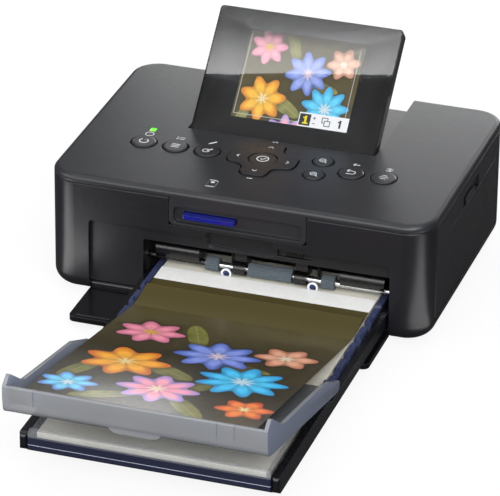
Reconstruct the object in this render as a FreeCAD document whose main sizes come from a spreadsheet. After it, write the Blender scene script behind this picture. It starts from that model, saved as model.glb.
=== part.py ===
import FreeCAD, Part
import math
import os
import Sketcher
from FreeCAD import Placement, Rotation, Vector

# Compact photo printer, in millimetres.
# X runs to the right seen from the front, Y runs from the front to the back, +Z is up.
# The part is drawn with the front face of the housing at Y 0 and the table at Z 0.
# Each finished piece is then shifted along Y so that the origin is below the middle of the whole part.

doc = FreeCAD.newDocument("photo_printer")

# Driving dimensions

SIZES = (
    # Housing
    ("body_depth", 127.0, "depth of the housing"),
    ("body_height", 60.5, "top of the housing above the table"),
    ("corner_radius", 13.0, "upright corners of the housing"),
    ("foot_height", 3.0, "underside of the housing above the table"),
    ("foot_radius", 5.5, "rubber foot"),
    ("foot_inset", 17.0, "foot centre from the sides of the housing"),
    ("case_wall", 2.2, "side and rear wall of the lower case"),
    ("case_floor", 2.2, "floor of the lower case"),
    ("front_wall", 6.4, "front wall of the lower case"),
    ("bottom_round", 7.0, "rounding along the lower edge"),
    ("split_height", 56.8, "parting line of the two housing halves"),
    ("split_groove", 0.5, "bevel on each side of the parting line"),
    ("top_round", 2.4, "rounding of the top edge"),
    ("top_plate", 2.0, "thickness of the top"),
    ("top_skirt", 3.0, "wall of the top cover along its rim"),
    ("overrun", 1.0, "how far a cutting tool passes a face"),
    ("fit_gap", 0.3, "gap between parts that move or meet loosely"),
    ("running_gap", 0.05, "radial clearance of a shaft in its bearing"),
    ("sheet_gap", 0.3, "height of a sheet over what carries it"),
    # Front face
    ("path_x", 13.2, "middle of the paper path"),
    ("bay_gap", 0.5, "gap between the cassette and each side of its opening"),
    ("bay_sill", 8.9, "lower edge of the cassette opening"),
    ("bay_top", 32.8, "upper edge of the cassette opening"),
    ("bay_corner", 1.2, "corners of the cassette opening"),
    ("recess_margin", 19.0, "recess of the front cover to each side of the housing"),
    ("recess_x", 1.0, "middle of the front recess"),
    ("recess_depth", 2.6, "depth of the front recess"),
    ("recess_top", 39.5, "upper edge of the front recess"),
    ("recess_corner", 2.0, "corners of the front recess"),
    ("barrel_room", 5.3, "depth of the hollow for the cover's hinge"),
    ("finger_width", 31.0, "finger recess over the opening"),
    ("finger_x", 2.0, "middle of the finger recess"),
    ("finger_low", 34.2, "lower edge of the finger recess"),
    ("finger_high", 42.0, "upper edge of the finger recess"),
    ("finger_depth", 4.4, "depth of the finger recess"),
    ("finger_rim", 0.6, "stepped rim round the finger recess"),
    ("latch_x", 26.4, "middle of the latch slot"),
    ("latch_width", 15.6, "latch slot"),
    ("latch_low", 34.9, "lower edge of the latch slot"),
    ("latch_high", 38.2, "upper edge of the latch slot"),
    ("latch_depth", 4.6, "depth of the latch slot"),
    # Tongue of the top cover and the card slot
    ("panel_x", 0.7, "middle of the tongue and of the screen"),
    ("tongue_width", 63.4, "tongue that drops over the front edge"),
    ("tongue_low", 43.6, "lower edge of the tongue"),
    ("tongue_thick", 4.4, "thickness of the tongue"),
    ("tongue_corner", 2.6, "lower corners of the tongue"),
    ("scoop_width", 59.4, "hollow in the tongue"),
    ("scoop_low", 44.9, "lower edge of the hollow"),
    ("scoop_high", 52.8, "upper edge of the hollow"),
    ("scoop_depth", 2.4, "depth of the hollow"),
    ("scoop_corner", 2.0, "corners of the hollow"),
    ("card_x", -12.5, "middle of the card slot"),
    ("card_low", 47.7, "underside of the memory card"),
    ("card_width", 24.0, "memory card"),
    ("card_thick", 2.1, "memory card"),
    ("card_length", 32.0, "memory card"),
    ("card_out", 1.2, "how far the card stands out of the front"),
    ("card_bevel", 3.6, "cut corner of the card"),
    ("reader_wall", 1.2, "card reader around the card"),
    ("reader_length", 35.0, "card reader"),
    # Keys
    ("key_row", 42.3, "middle of the key row from the front"),
    ("key_pitch", 15.1, "distance of two neighbouring keys"),
    ("power_x", -57.8, "power key"),
    ("back_x", 40.0, "back key"),
    ("zoom_x", 24.8, "the two zoom keys"),
    ("zoom_rise", 7.15, "zoom keys from the key row"),
    ("key_radius", 5.7, "round keys"),
    ("zoom_radius", 4.7, "zoom keys"),
    ("key_stand", 0.6, "how far a key stands above the top"),
    ("key_dome", 0.7, "bevel round a key's face"),
    ("key_flange", 1.1, "collar that holds a key under the top"),
    ("flange_thick", 1.0, "thickness of the collar"),
    ("stem_radius", 1.6, "stem under a key"),
    ("stem_length", 2.2, "stem under a key's collar"),
    ("key_gap", 0.6, "gap round the keys and the pad"),
    ("key_travel", 0.7, "how far a key goes down"),
    ("pad_x", -1.35, "middle of the direction pad"),
    ("pad_reach", 15.7, "middle of the pad to the end of its side arms"),
    ("pad_rise", 16.8, "middle of the pad to the end of its other arms"),
    ("pad_arm", 6.2, "half the width of an arm"),
    ("pad_hollow", 6.0, "hollow corners between the arms"),
    ("pad_tip", 3.4, "round corners at the ends of the arms"),
    ("centre_radius", 6.5, "centre key of the pad"),
    ("lamp_x", -58.0, "power lamp"),
    ("lamp_y", 55.9, "power lamp from the front"),
    ("lamp_width", 2.6, "power lamp"),
    ("lamp_depth", 3.2, "power lamp"),
    # Key board and card reader
    ("board_thick", 1.6, "circuit boards"),
    ("key_board_top", 52.2, "upper face of the key board"),
    ("key_board_margin", 9.0, "key board past the outer keys"),
    ("key_board_front", 14.0, "front edge of the key board"),
    ("key_board_depth", 46.5, "key board"),
    ("switch_height", 2.2, "dome switches on the key board"),
    ("switch_radius", 2.6, "dome switches on the key board"),
    ("boss_radius", 2.6, "screw bosses under the top"),
    ("boss_inset", 3.6, "boss centre from the corner of the key board"),
    # Screen
    ("screen_width", 87.2, "screen panel"),
    ("screen_length", 63.8, "screen panel from hinge edge to free edge"),
    ("screen_thick", 6.0, "screen panel"),
    ("screen_corner", 2.2, "corners of the free edge"),
    ("screen_hinge_y", 65.0, "screen hinge from the front"),
    ("screen_hinge_z", 58.5, "screen hinge above the table"),
    ("screen_barrel", 1.9, "radius of the screen's hinge edge"),
    ("screen_pin", 1.2, "hinge stub of the screen"),
    ("screen_tilt", 45.0, "tilt of the screen as set up"),
    ("screen_side_gap", 0.9, "gap beside the screen panel"),
    ("well_floor", 53.5, "floor of the screen's recess"),
    ("well_wall", 2.0, "wall of the screen's recess"),
    ("glass_thick", 1.2, "front glass of the screen"),
    ("glass_inset", 0.5, "rim of the shell round the glass"),
    ("display_width", 55.0, "picture area"),
    ("display_height", 43.0, "picture area"),
    ("display_x", 0.7, "picture area from the middle of the panel"),
    ("display_low", 11.2, "picture area from the hinge edge"),
    ("display_thick", 1.8, "display behind the glass"),
    # Ink compartment door
    ("door_front", 11.6, "front edge of the ink door"),
    ("door_rear", 112.4, "rear edge of the ink door"),
    ("door_low", 10.6, "lower edge of the ink door"),
    ("door_high", 45.0, "upper edge of the ink door"),
    ("door_corner", 10.0, "front upper corner of the ink door"),
    ("door_small_corner", 2.0, "other corners of the ink door"),
    ("door_thick", 2.4, "thickness of the ink door"),
    ("door_stub", 0.7, "hinge stub of the ink door"),
    ("grip_y", 67.0, "middle of the finger hollow over the door"),
    ("grip_width", 26.0, "finger hollow over the door"),
    ("grip_high", 51.6, "upper edge of the finger hollow"),
    ("grip_depth", 1.4, "depth of the finger hollow"),
    ("tab_width", 15.0, "door tab in the finger hollow"),
    ("tab_high", 47.8, "upper edge of the door tab"),
    # Front cover
    ("cover_length", 32.4, "front cover from hinge to free edge"),
    ("cover_thick", 2.4, "front cover"),
    ("cover_low", 3.4, "underside of the cover folded down"),
    ("cover_drop", 0.8, "hinge axis above the cover's face"),
    ("cover_axis_y", 3.2, "hinge axis of the front cover from the front"),
    ("cover_barrel", 1.4, "hinge edge of the front cover"),
    ("cover_stub", 0.9, "hinge stub of the front cover"),
    ("cover_stub_length", 2.4, "hinge stub of the front cover"),
    ("cover_corner", 3.0, "free corners of the front cover"),
    ("cover_gap", 0.6, "gap beside the front cover"),
    # Paper cassette
    ("tray_margin", 6.8, "cassette past each side of the paper"),
    ("tray_front", 153.0, "front end of the cassette before the housing"),
    ("tray_inside", 41.0, "rear end of the cassette inside the housing"),
    ("tray_low", 9.5, "underside of the cassette"),
    ("tray_floor", 1.6, "floor of the cassette"),
    ("rail_width", 3.4, "side rails of the cassette"),
    ("rail_high", 17.9, "side rails at the front"),
    ("rail_mid", 15.4, "side rails at the back"),
    ("rail_step", 86.0, "where the rails step down"),
    ("rail_slope", 5.0, "length of the step"),
    ("rail_round", 2.6, "front ends of the rails seen from the side"),
    ("rail_nose", 1.5, "front ends of the rails seen from above"),
    ("tray_wall", 1.8, "front and rear walls of the cassette"),
    ("tray_wall_high", 15.0, "top of the front wall"),
    ("side_width", 2.6, "dark inner sides of the cassette"),
    ("side_high", 17.6, "dark inner sides of the cassette"),
    ("side_end", 31.0, "rear end of the inner sides"),
    ("hook_high", 18.8, "small hooks on the inner sides"),
    ("hook_length", 3.2, "small hooks on the inner sides"),
    ("notch_first", 12.0, "first notch in the inner sides before the housing"),
    ("notch_pitch", 15.5, "notches in the inner sides"),
    ("notch_count", 4.0, "notches in each inner side"),
    ("notch_length", 4.6, "notches in the inner sides"),
    ("lug_high", 20.4, "hinge lugs of the outer lid"),
    ("lug_length", 6.4, "hinge lugs of the outer lid"),
    ("paper_width", 100.0, "photo paper"),
    ("paper_length", 177.0, "photo paper with its tear-off ends"),
    ("stack_high", 17.5, "top of the paper stack"),
    ("stack_low", 11.4, "underside of the paper stack"),
    ("plate_length", 46.0, "pressure plate under the paper"),
    ("plate_share", 0.6, "part of the floor that the plate fills"),
    # Inner lid
    ("inner_thick", 0.8, "clear inner lid"),
    ("inner_hinge", 84.5, "rear edge of the inner lid before the housing"),
    ("inner_axis_y", 86.0, "hinge axis of the inner lid before the housing"),
    ("inner_axis_z", 16.2, "hinge axis of the inner lid"),
    ("inner_arm", 1.8, "hinge arms of the inner lid"),
    ("inner_bar", 1.5, "front bar of the inner lid"),
    ("inner_skirt", 1.2, "front apron of the inner lid"),
    ("inner_skirt_low", 10.8, "lower edge of the front apron"),
    ("inner_side_gap", 1.0, "gap between inner lid and rails"),
    ("inner_rib", 1.4, "stiffening ribs of the inner lid"),
    ("inner_stub", 0.7, "hinge stub of the inner lid"),
    # Outer lid
    ("lid_over", 0.2, "outer lid past each side of the cassette"),
    ("lid_wall", 1.6, "walls of the outer lid"),
    ("lid_axis_y", 73.0, "hinge axis of the outer lid before the housing"),
    ("lid_axis_z", 18.3, "hinge axis of the outer lid"),
    ("lid_barrel", 2.1, "rear end of the outer lid's sides"),
    ("lid_eye", 2.6, "hinge eye of the outer lid"),
    ("lid_stub", 0.9, "hinge stub of the outer lid"),
    ("lid_reach", 170.0, "front of the lip before the housing"),
    ("lid_start", 78.0, "rear edge of the lid's floor"),
    ("lid_start_z", 18.4, "underside of the floor at its rear edge"),
    ("lip_foot_z", 36.0, "lower edge of the lip"),
    ("lip_high", 48.8, "upper edge of the lip"),
    ("lip_thick", 1.8, "wall of the lip"),
    ("lip_hollow", 12.0, "curve from the floor into the lip"),
    ("lip_round", 4.5, "lower edge of the lip"),
    ("lip_lean", 0.8, "how far the lip's foot stands back"),
    ("lip_flat", 5.0, "upright part of the lip"),
    ("side_peak", 52.2, "highest point of the lid's sides"),
    ("side_peak_y", 165.0, "where the sides are highest"),
    ("side_dip_y", 150.0, "where the sides start to rise"),
    ("side_dip_z", 41.4, "height of the sides there"),
    ("side_knee_y", 92.0, "where the sides bend down to the hinge"),
    ("side_knee_z", 29.6, "height of the sides there"),
    ("side_start_z", 21.0, "height of the sides at the hinge"),
    ("thumb_width", 24.0, "thumb tab under the lip"),
    ("thumb_drop", 0.7, "thumb tab below the foot of the lip"),
    ("thumb_round", 4.8, "lower corners of the thumb tab"),
    ("lip_line", 0.4, "width and depth of the fine upright lines in the lip"),
    ("lip_line_left", 43.5, "left line from the middle of the lid"),
    ("lip_line_near", 35.4, "inner one of the two right lines from the middle of the lid"),
    ("lip_line_far", 42.9, "outer one of the two right lines from the middle of the lid"),
    # Printed sheet
    ("print_thick", 0.3, "printed sheet"),
    ("print_rear", 7.4, "rear edge of the print inside the housing"),
    ("print_bend", 40.0, "where the print starts to rise"),
    ("print_front", 166.0, "front edge of the print before the housing"),
    ("print_front_z", 43.6, "front edge of the print above the table"),
    ("print_arc", 90.0, "radius of the print's bend"),
    # Exit rollers
    ("eject_y", 11.0, "exit shaft from the front"),
    ("eject_radius", 3.2, "exit rollers"),
    ("eject_shaft_radius", 1.5, "exit shaft"),
    ("rib_count", 18.0, "ribs round a roller"),
    ("rib_depth", 0.45, "ribs of a roller"),
    ("rib_width", 0.6, "ribs of a roller"),
    ("wide_roller", 20.4, "middle exit roller"),
    ("small_roller", 6.0, "outer exit rollers"),
    ("small_roller_x", 27.0, "outer rollers from the middle of the path"),
    ("bracket_x", 14.2, "roller brackets from the middle of the path"),
    ("bracket_width", 5.6, "roller brackets"),
    ("bracket_round", 3.4, "front of the roller brackets"),
    ("beam_y", 18.0, "front face of the exit beam"),
    ("beam_thick", 2.4, "exit beam"),
    ("beam_low", 24.6, "exit beam"),
    ("beam_high", 33.6, "exit beam"),
    ("guide_start", 32.7, "guide blocks from the middle of the path"),
    ("guide_end", 4.7, "gap between the guide blocks and the side plates"),
    ("guide_front", 7.6, "front of the guide blocks"),
    ("guide_low", 21.4, "guide blocks"),
    ("guide_high", 29.4, "guide blocks"),
    ("ring_x", 20.2, "guide rings from the middle of the path"),
    ("ring_y", 8.2, "front face of the guide rings, just behind the print"),
    ("ring_z", 18.9, "middle of the guide rings, which are cut off flat over the stack"),
    ("ring_radius", 2.4, "guide rings"),
    ("ring_thick", 0.9, "guide rings"),
    ("ring_rim", 0.7, "raised rim of the guide rings"),
    ("ring_arm", 1.2, "arm that carries a guide ring"),
    # Paper transport inside
    ("pickup_y", 31.0, "pickup shaft from the front"),
    ("pickup_radius", 4.6, "pickup rollers"),
    ("pickup_width", 12.0, "pickup rollers"),
    ("pickup_x", 14.0, "pickup rollers from the middle of the path"),
    ("platen_y", 65.0, "platen roller from the front"),
    ("platen_radius", 5.2, "platen roller"),
    ("roller_over", 2.0, "platen roller past each side of the paper"),
    ("path_z", 18.0, "height of the paper path"),
    ("capstan_y", 101.0, "capstan from the front"),
    ("capstan_radius", 3.0, "capstan and pinch roller"),
    ("shaft_radius", 2.0, "inner shafts"),
    ("shaft_end", 6.2, "how far the shafts pass the left side plate"),
    ("bush_length", 1.6, "bearing bushes past the side plates"),
    # Chassis
    ("plate_margin", 6.0, "side plates past the ends of the platen roller"),
    ("plate_thick", 1.5, "chassis sheet"),
    ("chassis_front", 8.0, "chassis from the front"),
    ("chassis_rear", 108.0, "rear edge of the side plates"),
    ("chassis_high", 46.0, "upper edge of the side plates"),
    ("chassis_floor", 1.2, "chassis floor"),
    ("chassis_foot", 3.6, "slanted front corners of the side plates"),
    ("runner_inset", 6.8, "middle of the cassette runners from the cassette's sides"),
    ("runner_width", 4.0, "cassette runners"),
    # Gears, module 1 millimetre
    ("gear_module", 1.0, "tooth module"),
    ("gear_width", 4.0, "gears"),
    ("gear_gap", 1.0, "gear to side plate"),
    ("gear_room", 1.0, "free space round the gears"),
    ("eject_teeth", 10.0, "gear of the exit shaft"),
    ("front_idler_teeth", 22.0, "idler gear beside the exit gear"),
    ("rear_idler_teeth", 24.0, "idler gear beside the platen gear"),
    ("platen_teeth", 12.0, "platen gear"),
    ("pinion_teeth", 10.0, "motor pinion"),
    ("first_idler_angle", 8.0, "first idler over the exit shaft"),
    ("pinion_angle", 40.0, "pinion over the second idler"),
    ("pin_radius", 1.5, "idler pins and motor shaft"),
    ("motor_radius", 9.0, "drive motor"),
    ("motor_length", 27.0, "drive motor"),
    ("motor_gap", 8.3, "motor bracket from the left side plate"),
    ("motor_plate_front", 55.0, "motor bracket from the front"),
    ("motor_plate_depth", 22.0, "motor bracket"),
    # Ink cassette and print head
    ("spool_z", 32.0, "spool axes above the table"),
    ("supply_y", 44.0, "supply spool from the front"),
    ("takeup_y", 86.0, "take-up spool from the front"),
    ("chamber_radius", 11.0, "spool chambers of the ink cassette"),
    ("chamber_wall", 1.4, "wall of the ink cassette"),
    ("ink_gap", 1.2, "left end of the ink cassette from the left side plate"),
    ("ink_reach", 10.9, "right end of the ink cassette past the right side plate"),
    ("ink_room", 3.0, "free space between the ink cassette and its door"),
    ("ink_bar", 4.0, "end bars of the ink cassette"),
    ("ink_bar_high", 5.6, "half the height of the end bars"),
    ("spool_core", 4.0, "spool cores"),
    ("supply_roll", 8.4, "ribbon left on the supply spool"),
    ("takeup_roll", 5.6, "used ribbon on the take-up spool"),
    ("spool_journal", 1.6, "spool journals"),
    ("spool_journal_length", 2.4, "spool journals in the end bars"),
    ("ribbon_thick", 0.25, "ribbon"),
    ("ribbon_height", 0.6, "ribbon over the paper path under the head"),
    ("ribbon_half", 7.0, "ribbon's flat stretch under the head"),
    ("head_width", 11.0, "thermal print head"),
    ("head_high", 23.0, "top of the thermal print head"),
    ("sink_width", 8.0, "heat sink of the head"),
    ("sink_high", 38.0, "top of the heat sink"),
    ("fin_count", 3.0, "slots of the heat sink"),
    ("fin_slot", 1.2, "slots of the heat sink"),
    ("fin_depth", 9.0, "slots of the heat sink"),
    ("head_beam_high", 41.4, "cross bracket of the head"),
    ("head_beam_depth", 12.0, "cross bracket of the head"),
    # Rear
    ("slot_margin", 3.0, "paper slot in the rear past each side of the paper"),
    ("slot_low", 15.6, "paper slot in the rear"),
    ("slot_high", 21.8, "paper slot in the rear"),
    ("guide_plate", 1.5, "paper guide plates"),
    ("guide_leg", 2.0, "legs of the paper guide"),
    ("port_z", 33.0, "middle of the rear sockets"),
    ("inlet_inset", 19.0, "power inlet from the left side of the housing"),
    ("usb_inset", 39.0, "USB socket from the left side of the housing"),
    ("inlet_radius", 5.6, "power inlet housing"),
    ("inlet_bore", 3.2, "power inlet bore"),
    ("inlet_pin", 1.0, "power inlet pin"),
    ("usb_width", 12.0, "USB socket"),
    ("usb_height", 10.8, "USB socket"),
    ("usb_wall", 0.8, "USB socket"),
    ("usb_tongue_width", 5.6, "tongue of the USB socket"),
    ("usb_tongue_height", 3.2, "tongue of the USB socket"),
    ("socket_depth", 9.0, "depth of the sockets"),
    ("vent_count", 9.0, "vent slots"),
    ("vent_pitch", 5.0, "vent slots"),
    ("vent_width", 2.2, "vent slots"),
    ("vent_low", 30.0, "vent slots"),
    ("vent_high", 46.0, "vent slots"),
    ("vent_x", 20.0, "first vent slot"),
    ("main_board_left", 9.0, "main board from the left side of the housing"),
    ("main_board_right", 25.0, "main board from the right side of the housing"),
    ("main_board_low", 24.0, "main board"),
    ("main_board_high", 50.0, "main board"),
    ("screw_radius", 2.6, "screw heads under the case"),
    ("screw_depth", 1.2, "screw heads under the case"),
    ("screw_inset", 12.0, "screws from the feet"),
)


class Size:
    """A value with the sheet expression that gives it, so that sums of sizes stay bound."""

    def __init__(self, value, text):
        self.value = float(value)
        self.text = text

    def __float__(self):
        return self.value

    def __int__(self):
        return int(self.value)

    def __add__(self, other):
        return Size(self.value + float(other), f"({self.text} + {text_of(other)})")

    def __radd__(self, other):
        return Size(float(other) + self.value, f"({text_of(other)} + {self.text})")

    def __sub__(self, other):
        return Size(self.value - float(other), f"({self.text} - {text_of(other)})")

    def __rsub__(self, other):
        return Size(float(other) - self.value, f"({text_of(other)} - {self.text})")

    def __mul__(self, other):
        return Size(self.value * float(other), f"({self.text} * {text_of(other)})")

    def __rmul__(self, other):
        return Size(float(other) * self.value, f"({text_of(other)} * {self.text})")

    def __truediv__(self, other):
        return Size(self.value / float(other), f"({self.text} / {text_of(other)})")

    def __neg__(self):
        return Size(-self.value, f"(-1 * {self.text})")


def text_of(size):
    """The sheet expression of a size, or the plain number."""
    return size.text if isinstance(size, Size) else repr(float(size))


class Dimensions:
    """Gives each row of the table as a Size bound to the sheet."""


def read_sheet():
    sheet = doc.addObject("Spreadsheet::Sheet", "Sizes")
    for row, (alias, value, note) in enumerate(SIZES, start=1):
        sheet.set(f"A{row}", alias)
        sheet.set(f"B{row}", str(value))
        sheet.set(f"C{row}", note)
        sheet.setAlias(f"B{row}", alias)
    doc.recompute()
    dimensions = Dimensions()
    for alias, _, _ in SIZES:
        setattr(dimensions, alias, Size(sheet.get(alias), f"Sizes.{alias}"))
    return dimensions


d = read_sheet()
nodes = []

# Places that several pieces share

ground = d.body_depth * 0
shift_y = (d.lid_reach - d.body_depth) / 2
case_low = d.foot_height
floor_z = case_low + d.case_floor
deck = d.body_height - d.top_plate
paper_half = d.paper_width / 2
tray_half = paper_half + d.tray_margin
roller_half = paper_half + d.roller_over
plate_half = roller_half + d.plate_margin
left_plate_in = d.path_x - plate_half
left_plate_out = left_plate_in - d.plate_thick
right_plate_in = d.path_x + plate_half
right_plate_out = right_plate_in + d.plate_thick
ink_ends = (left_plate_in + d.ink_gap, right_plate_out + d.ink_reach)
# The housing is as wide as the paper path, the ink cassette and its door make it
side = ink_ends[1] + d.ink_room + d.door_thick
recess_half = side - d.recess_margin
inlet_x = d.inlet_inset - side
usb_x = d.usb_inset - side
chassis_base = floor_z + d.chassis_floor
eject_z = d.path_z + d.sheet_gap + d.eject_radius
pickup_z = d.stack_high + d.sheet_gap + d.pickup_radius
platen_z = d.path_z - d.platen_radius
cover_axis_z = d.cover_low + d.cover_thick + d.cover_drop
well_half = d.screen_width / 2 + d.screen_side_gap


# Drawing helpers

def bind(thing, **sizes):
    """Bind properties, named with double underscores for dots, to sizes."""
    for name, size in sizes.items():
        thing.setExpression(name.replace("__", "."), text_of(size))
    return thing


def box(x, y, z, name="Block"):
    """An upright box between three pairs of sizes."""
    thing = doc.addObject("Part::Box", name)
    bind(thing, Length=x[1] - x[0], Width=y[1] - y[0], Height=z[1] - z[0])
    return bind(thing, Placement__Base__x=x[0], Placement__Base__y=y[0], Placement__Base__z=z[0])


AXIS_TURN = {
    "x": Rotation(Vector(0, 1, 0), 90),
    "y": Rotation(Vector(1, 0, 0), -90),
    "z": Rotation(),
}


def rod(axis, centre, span, radius, name="Rod"):
    """A cylinder along an axis; centre holds the other two places in X, Y, Z order."""
    thing = doc.addObject("Part::Cylinder", name)
    thing.Placement = Placement(Vector(), AXIS_TURN[axis])
    bind(thing, Radius=radius, Height=span[1] - span[0])
    places = {"x": (span[0], centre[0], centre[1]),
              "y": (centre[0], span[0], centre[1]),
              "z": (centre[0], centre[1], span[0])}[axis]
    return bind(thing, Placement__Base__x=places[0], Placement__Base__y=places[1],
                Placement__Base__z=places[2])


def fuse(*things, name="Joined"):
    """Several solids as one."""
    joined = doc.addObject("Part::MultiFuse", name)
    joined.Shapes = list(things)
    joined.Refine = True
    return joined


def group(*things, name="Group"):
    """Separate solids kept together."""
    together = doc.addObject("Part::Compound", name)
    together.Links = list(things)
    return together


def cut(base, *tools, name="Cut"):
    """A solid less its tools."""
    result = doc.addObject("Part::Cut", name)
    result.Base = base
    result.Tool = tools[0] if len(tools) == 1 else fuse(*tools)
    result.Refine = True
    return result


def rounded_rectangle(sketch, first, second, radius):
    """Draw a rounded rectangle between two pairs of sizes and bind its constraints."""
    a0, a1, b0, b1 = float(first[0]), float(first[1]), float(second[0]), float(second[1])
    r = float(radius)
    flat = Vector(0, 0, 1)
    lines = (((a0 + r, b0), (a1 - r, b0)), ((a1, b0 + r), (a1, b1 - r)),
             ((a1 - r, b1), (a0 + r, b1)), ((a0, b1 - r), (a0, b0 + r)))
    for start, end in lines:
        sketch.addGeometry(Part.LineSegment(Vector(*start, 0), Vector(*end, 0)), False)
    centres = ((a1 - r, b0 + r), (a1 - r, b1 - r), (a0 + r, b1 - r), (a0 + r, b0 + r))
    for turn, centre in enumerate(centres):
        circle = Part.Circle(Vector(*centre, 0), flat, r)
        start = math.radians(-90 + 90 * turn)
        sketch.addGeometry(Part.ArcOfCircle(circle, start, start + math.pi / 2), False)
    for turn in range(4):
        sketch.addConstraint(Sketcher.Constraint("Tangent", turn, 2, 4 + turn, 1))
        sketch.addConstraint(Sketcher.Constraint("Tangent", 4 + turn, 2, (turn + 1) % 4, 1))
    for line, kind in enumerate(("Horizontal", "Vertical", "Horizontal", "Vertical")):
        sketch.addConstraint(Sketcher.Constraint(kind, line))
    for turn in (5, 6, 7):
        sketch.addConstraint(Sketcher.Constraint("Equal", 4, turn))
    fix(sketch, "Radius", (4,), radius)
    fix(sketch, "DistanceY", (-1, 1, 0, 1), second[0])
    fix(sketch, "DistanceX", (-1, 1, 1, 1), first[1])
    fix(sketch, "DistanceY", (-1, 1, 2, 1), second[1])
    fix(sketch, "DistanceX", (-1, 1, 3, 1), first[0])
    return sketch


def fix(sketch, kind, elements, size):
    """Add one dimension to a sketch, bound to a size; a place at zero lies on the axis."""
    if float(size) == 0:
        axis = -1 if kind == "DistanceY" else -2
        sketch.addConstraint(Sketcher.Constraint("PointOnObject", elements[2], elements[3], axis))
        return
    index = sketch.addConstraint(Sketcher.Constraint(kind, *elements, float(size)))
    sketch.setExpression(f"Constraints[{index}]", text_of(size))


SKETCH_TURN = {
    "x": Rotation(Vector(1, 1, 1), 120),
    "y": Rotation(Vector(1, 0, 0), 90),
    "z": Rotation(),
}


def extrude(sketch, axis, span, name="Extrusion"):
    """Extrude a sketch along an axis between two places.
    Its own axes are (Y, Z) for x, (X, Z) for y and (X, Y) for z."""
    sketch.Placement = Placement(Vector(), SKETCH_TURN[axis])
    start = span[1] if axis == "y" else span[0]
    place = {"x": "Placement__Base__x", "y": "Placement__Base__y", "z": "Placement__Base__z"}[axis]
    bind(sketch, **{place: start})
    thing = doc.addObject("Part::Extrusion", name)
    thing.Base = sketch
    thing.DirMode = "Normal"
    thing.Solid = True
    return bind(thing, LengthFwd=span[1] - span[0])


def rounded_block(axis, first, second, span, radius, name="RoundedBlock"):
    """A block with a rounded rectangle as its section."""
    sketch = doc.addObject("Sketcher::SketchObject", "Section")
    rounded_rectangle(sketch, first, second, radius)
    return extrude(sketch, axis, span, name)


def outline_edges(corners):
    """Lines and tangent arcs through corners given as (a, b, radius)."""
    points = [Vector(float(a), float(b), 0) for a, b, _ in corners]
    radii = [float(r) for _, _, r in corners]
    count = len(corners)
    starts, ends, edges = [], [], []
    for i in range(count):
        before = (points[i - 1] - points[i]).normalize()
        after = (points[(i + 1) % count] - points[i]).normalize()
        half = before.getAngle(after) / 2
        reach = radii[i] / math.tan(half)
        starts.append(points[i] + before * reach)
        ends.append(points[i] + after * reach)
        if radii[i] > 0:
            middle = (before + after).normalize()
            middle = points[i] + middle * (radii[i] / math.sin(half) - radii[i])
            edges.append((i, Part.Arc(starts[i], middle, ends[i])))
    ordered = []
    for i in range(count):
        ordered.extend(arc for index, arc in edges if index == i)
        following = starts[(i + 1) % count]
        if (following - ends[i]).Length > 1e-7:
            ordered.append(Part.LineSegment(ends[i], following))
    return ordered


def outline_block(axis, corners, span, name="Outline"):
    """A block whose section is an outline with its own radius at each corner."""
    sketch = doc.addObject("Sketcher::SketchObject", "Section")
    for edge in outline_edges(corners):
        sketch.addGeometry(edge, False)
    return extrude(sketch, axis, span, name)


def finish(label, thing):
    """Name a finished piece and move it to the part's origin."""
    thing.Label = label
    own = [text for path, text in thing.ExpressionEngine if path.endswith("Placement.Base.y")]
    place = shift_y + Size(thing.Placement.Base.y, own[0]) if own else shift_y
    bind(thing, Placement__Base__y=place)
    nodes.append(thing)
    return thing


def new_body(label):
    """An empty design body whose origin planes carry its sketches."""
    body = doc.addObject("PartDesign::Body", label)
    body.Label = label
    return body


def body_sketch(body, role, height, name="Section"):
    """A sketch on one of the body's own planes, at a height above it."""
    sketch = body.newObject("Sketcher::SketchObject", name)
    plane = next(f for f in body.Origin.OriginFeatures if f.Role == role)
    sketch.AttachmentSupport = (plane, [""])
    sketch.MapMode = "FlatFace"
    sketch.setExpression("AttachmentOffset.Base.z", text_of(height))
    return sketch


def body_pad(body, sketch, length, name="Pad"):
    pad = body.newObject("PartDesign::Pad", name)
    pad.Profile = sketch
    pad.Refine = True
    return bind(pad, Length=length)


def body_pocket(body, sketch, length, name="Pocket"):
    pocket = body.newObject("PartDesign::Pocket", name)
    pocket.Profile = sketch
    pocket.Refine = True
    return bind(pocket, Length=length)


def body_fillet(body, feature, radius, chosen, kind="PartDesign::Fillet"):
    """Round or bevel the edges of a feature for which chosen(edge) is true."""
    doc.recompute()
    names = [f"Edge{i}" for i, e in enumerate(feature.Shape.Edges, start=1) if chosen(e)]
    fillet = body.newObject(kind, "EdgeWork")
    fillet.Base = (feature, names)
    if kind == "PartDesign::Fillet":
        return bind(fillet, Radius=radius)
    return bind(fillet, Size=radius)


def at_height(height, tolerance=1e-4):
    """Picks the edges that lie flat at one height."""
    level = float(height)

    def chosen(edge):
        bounds = edge.BoundBox
        return abs(bounds.ZMin - level) < tolerance and abs(bounds.ZMax - level) < tolerance
    return chosen


# Lower case: a deep tray with a thick front wall

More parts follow.
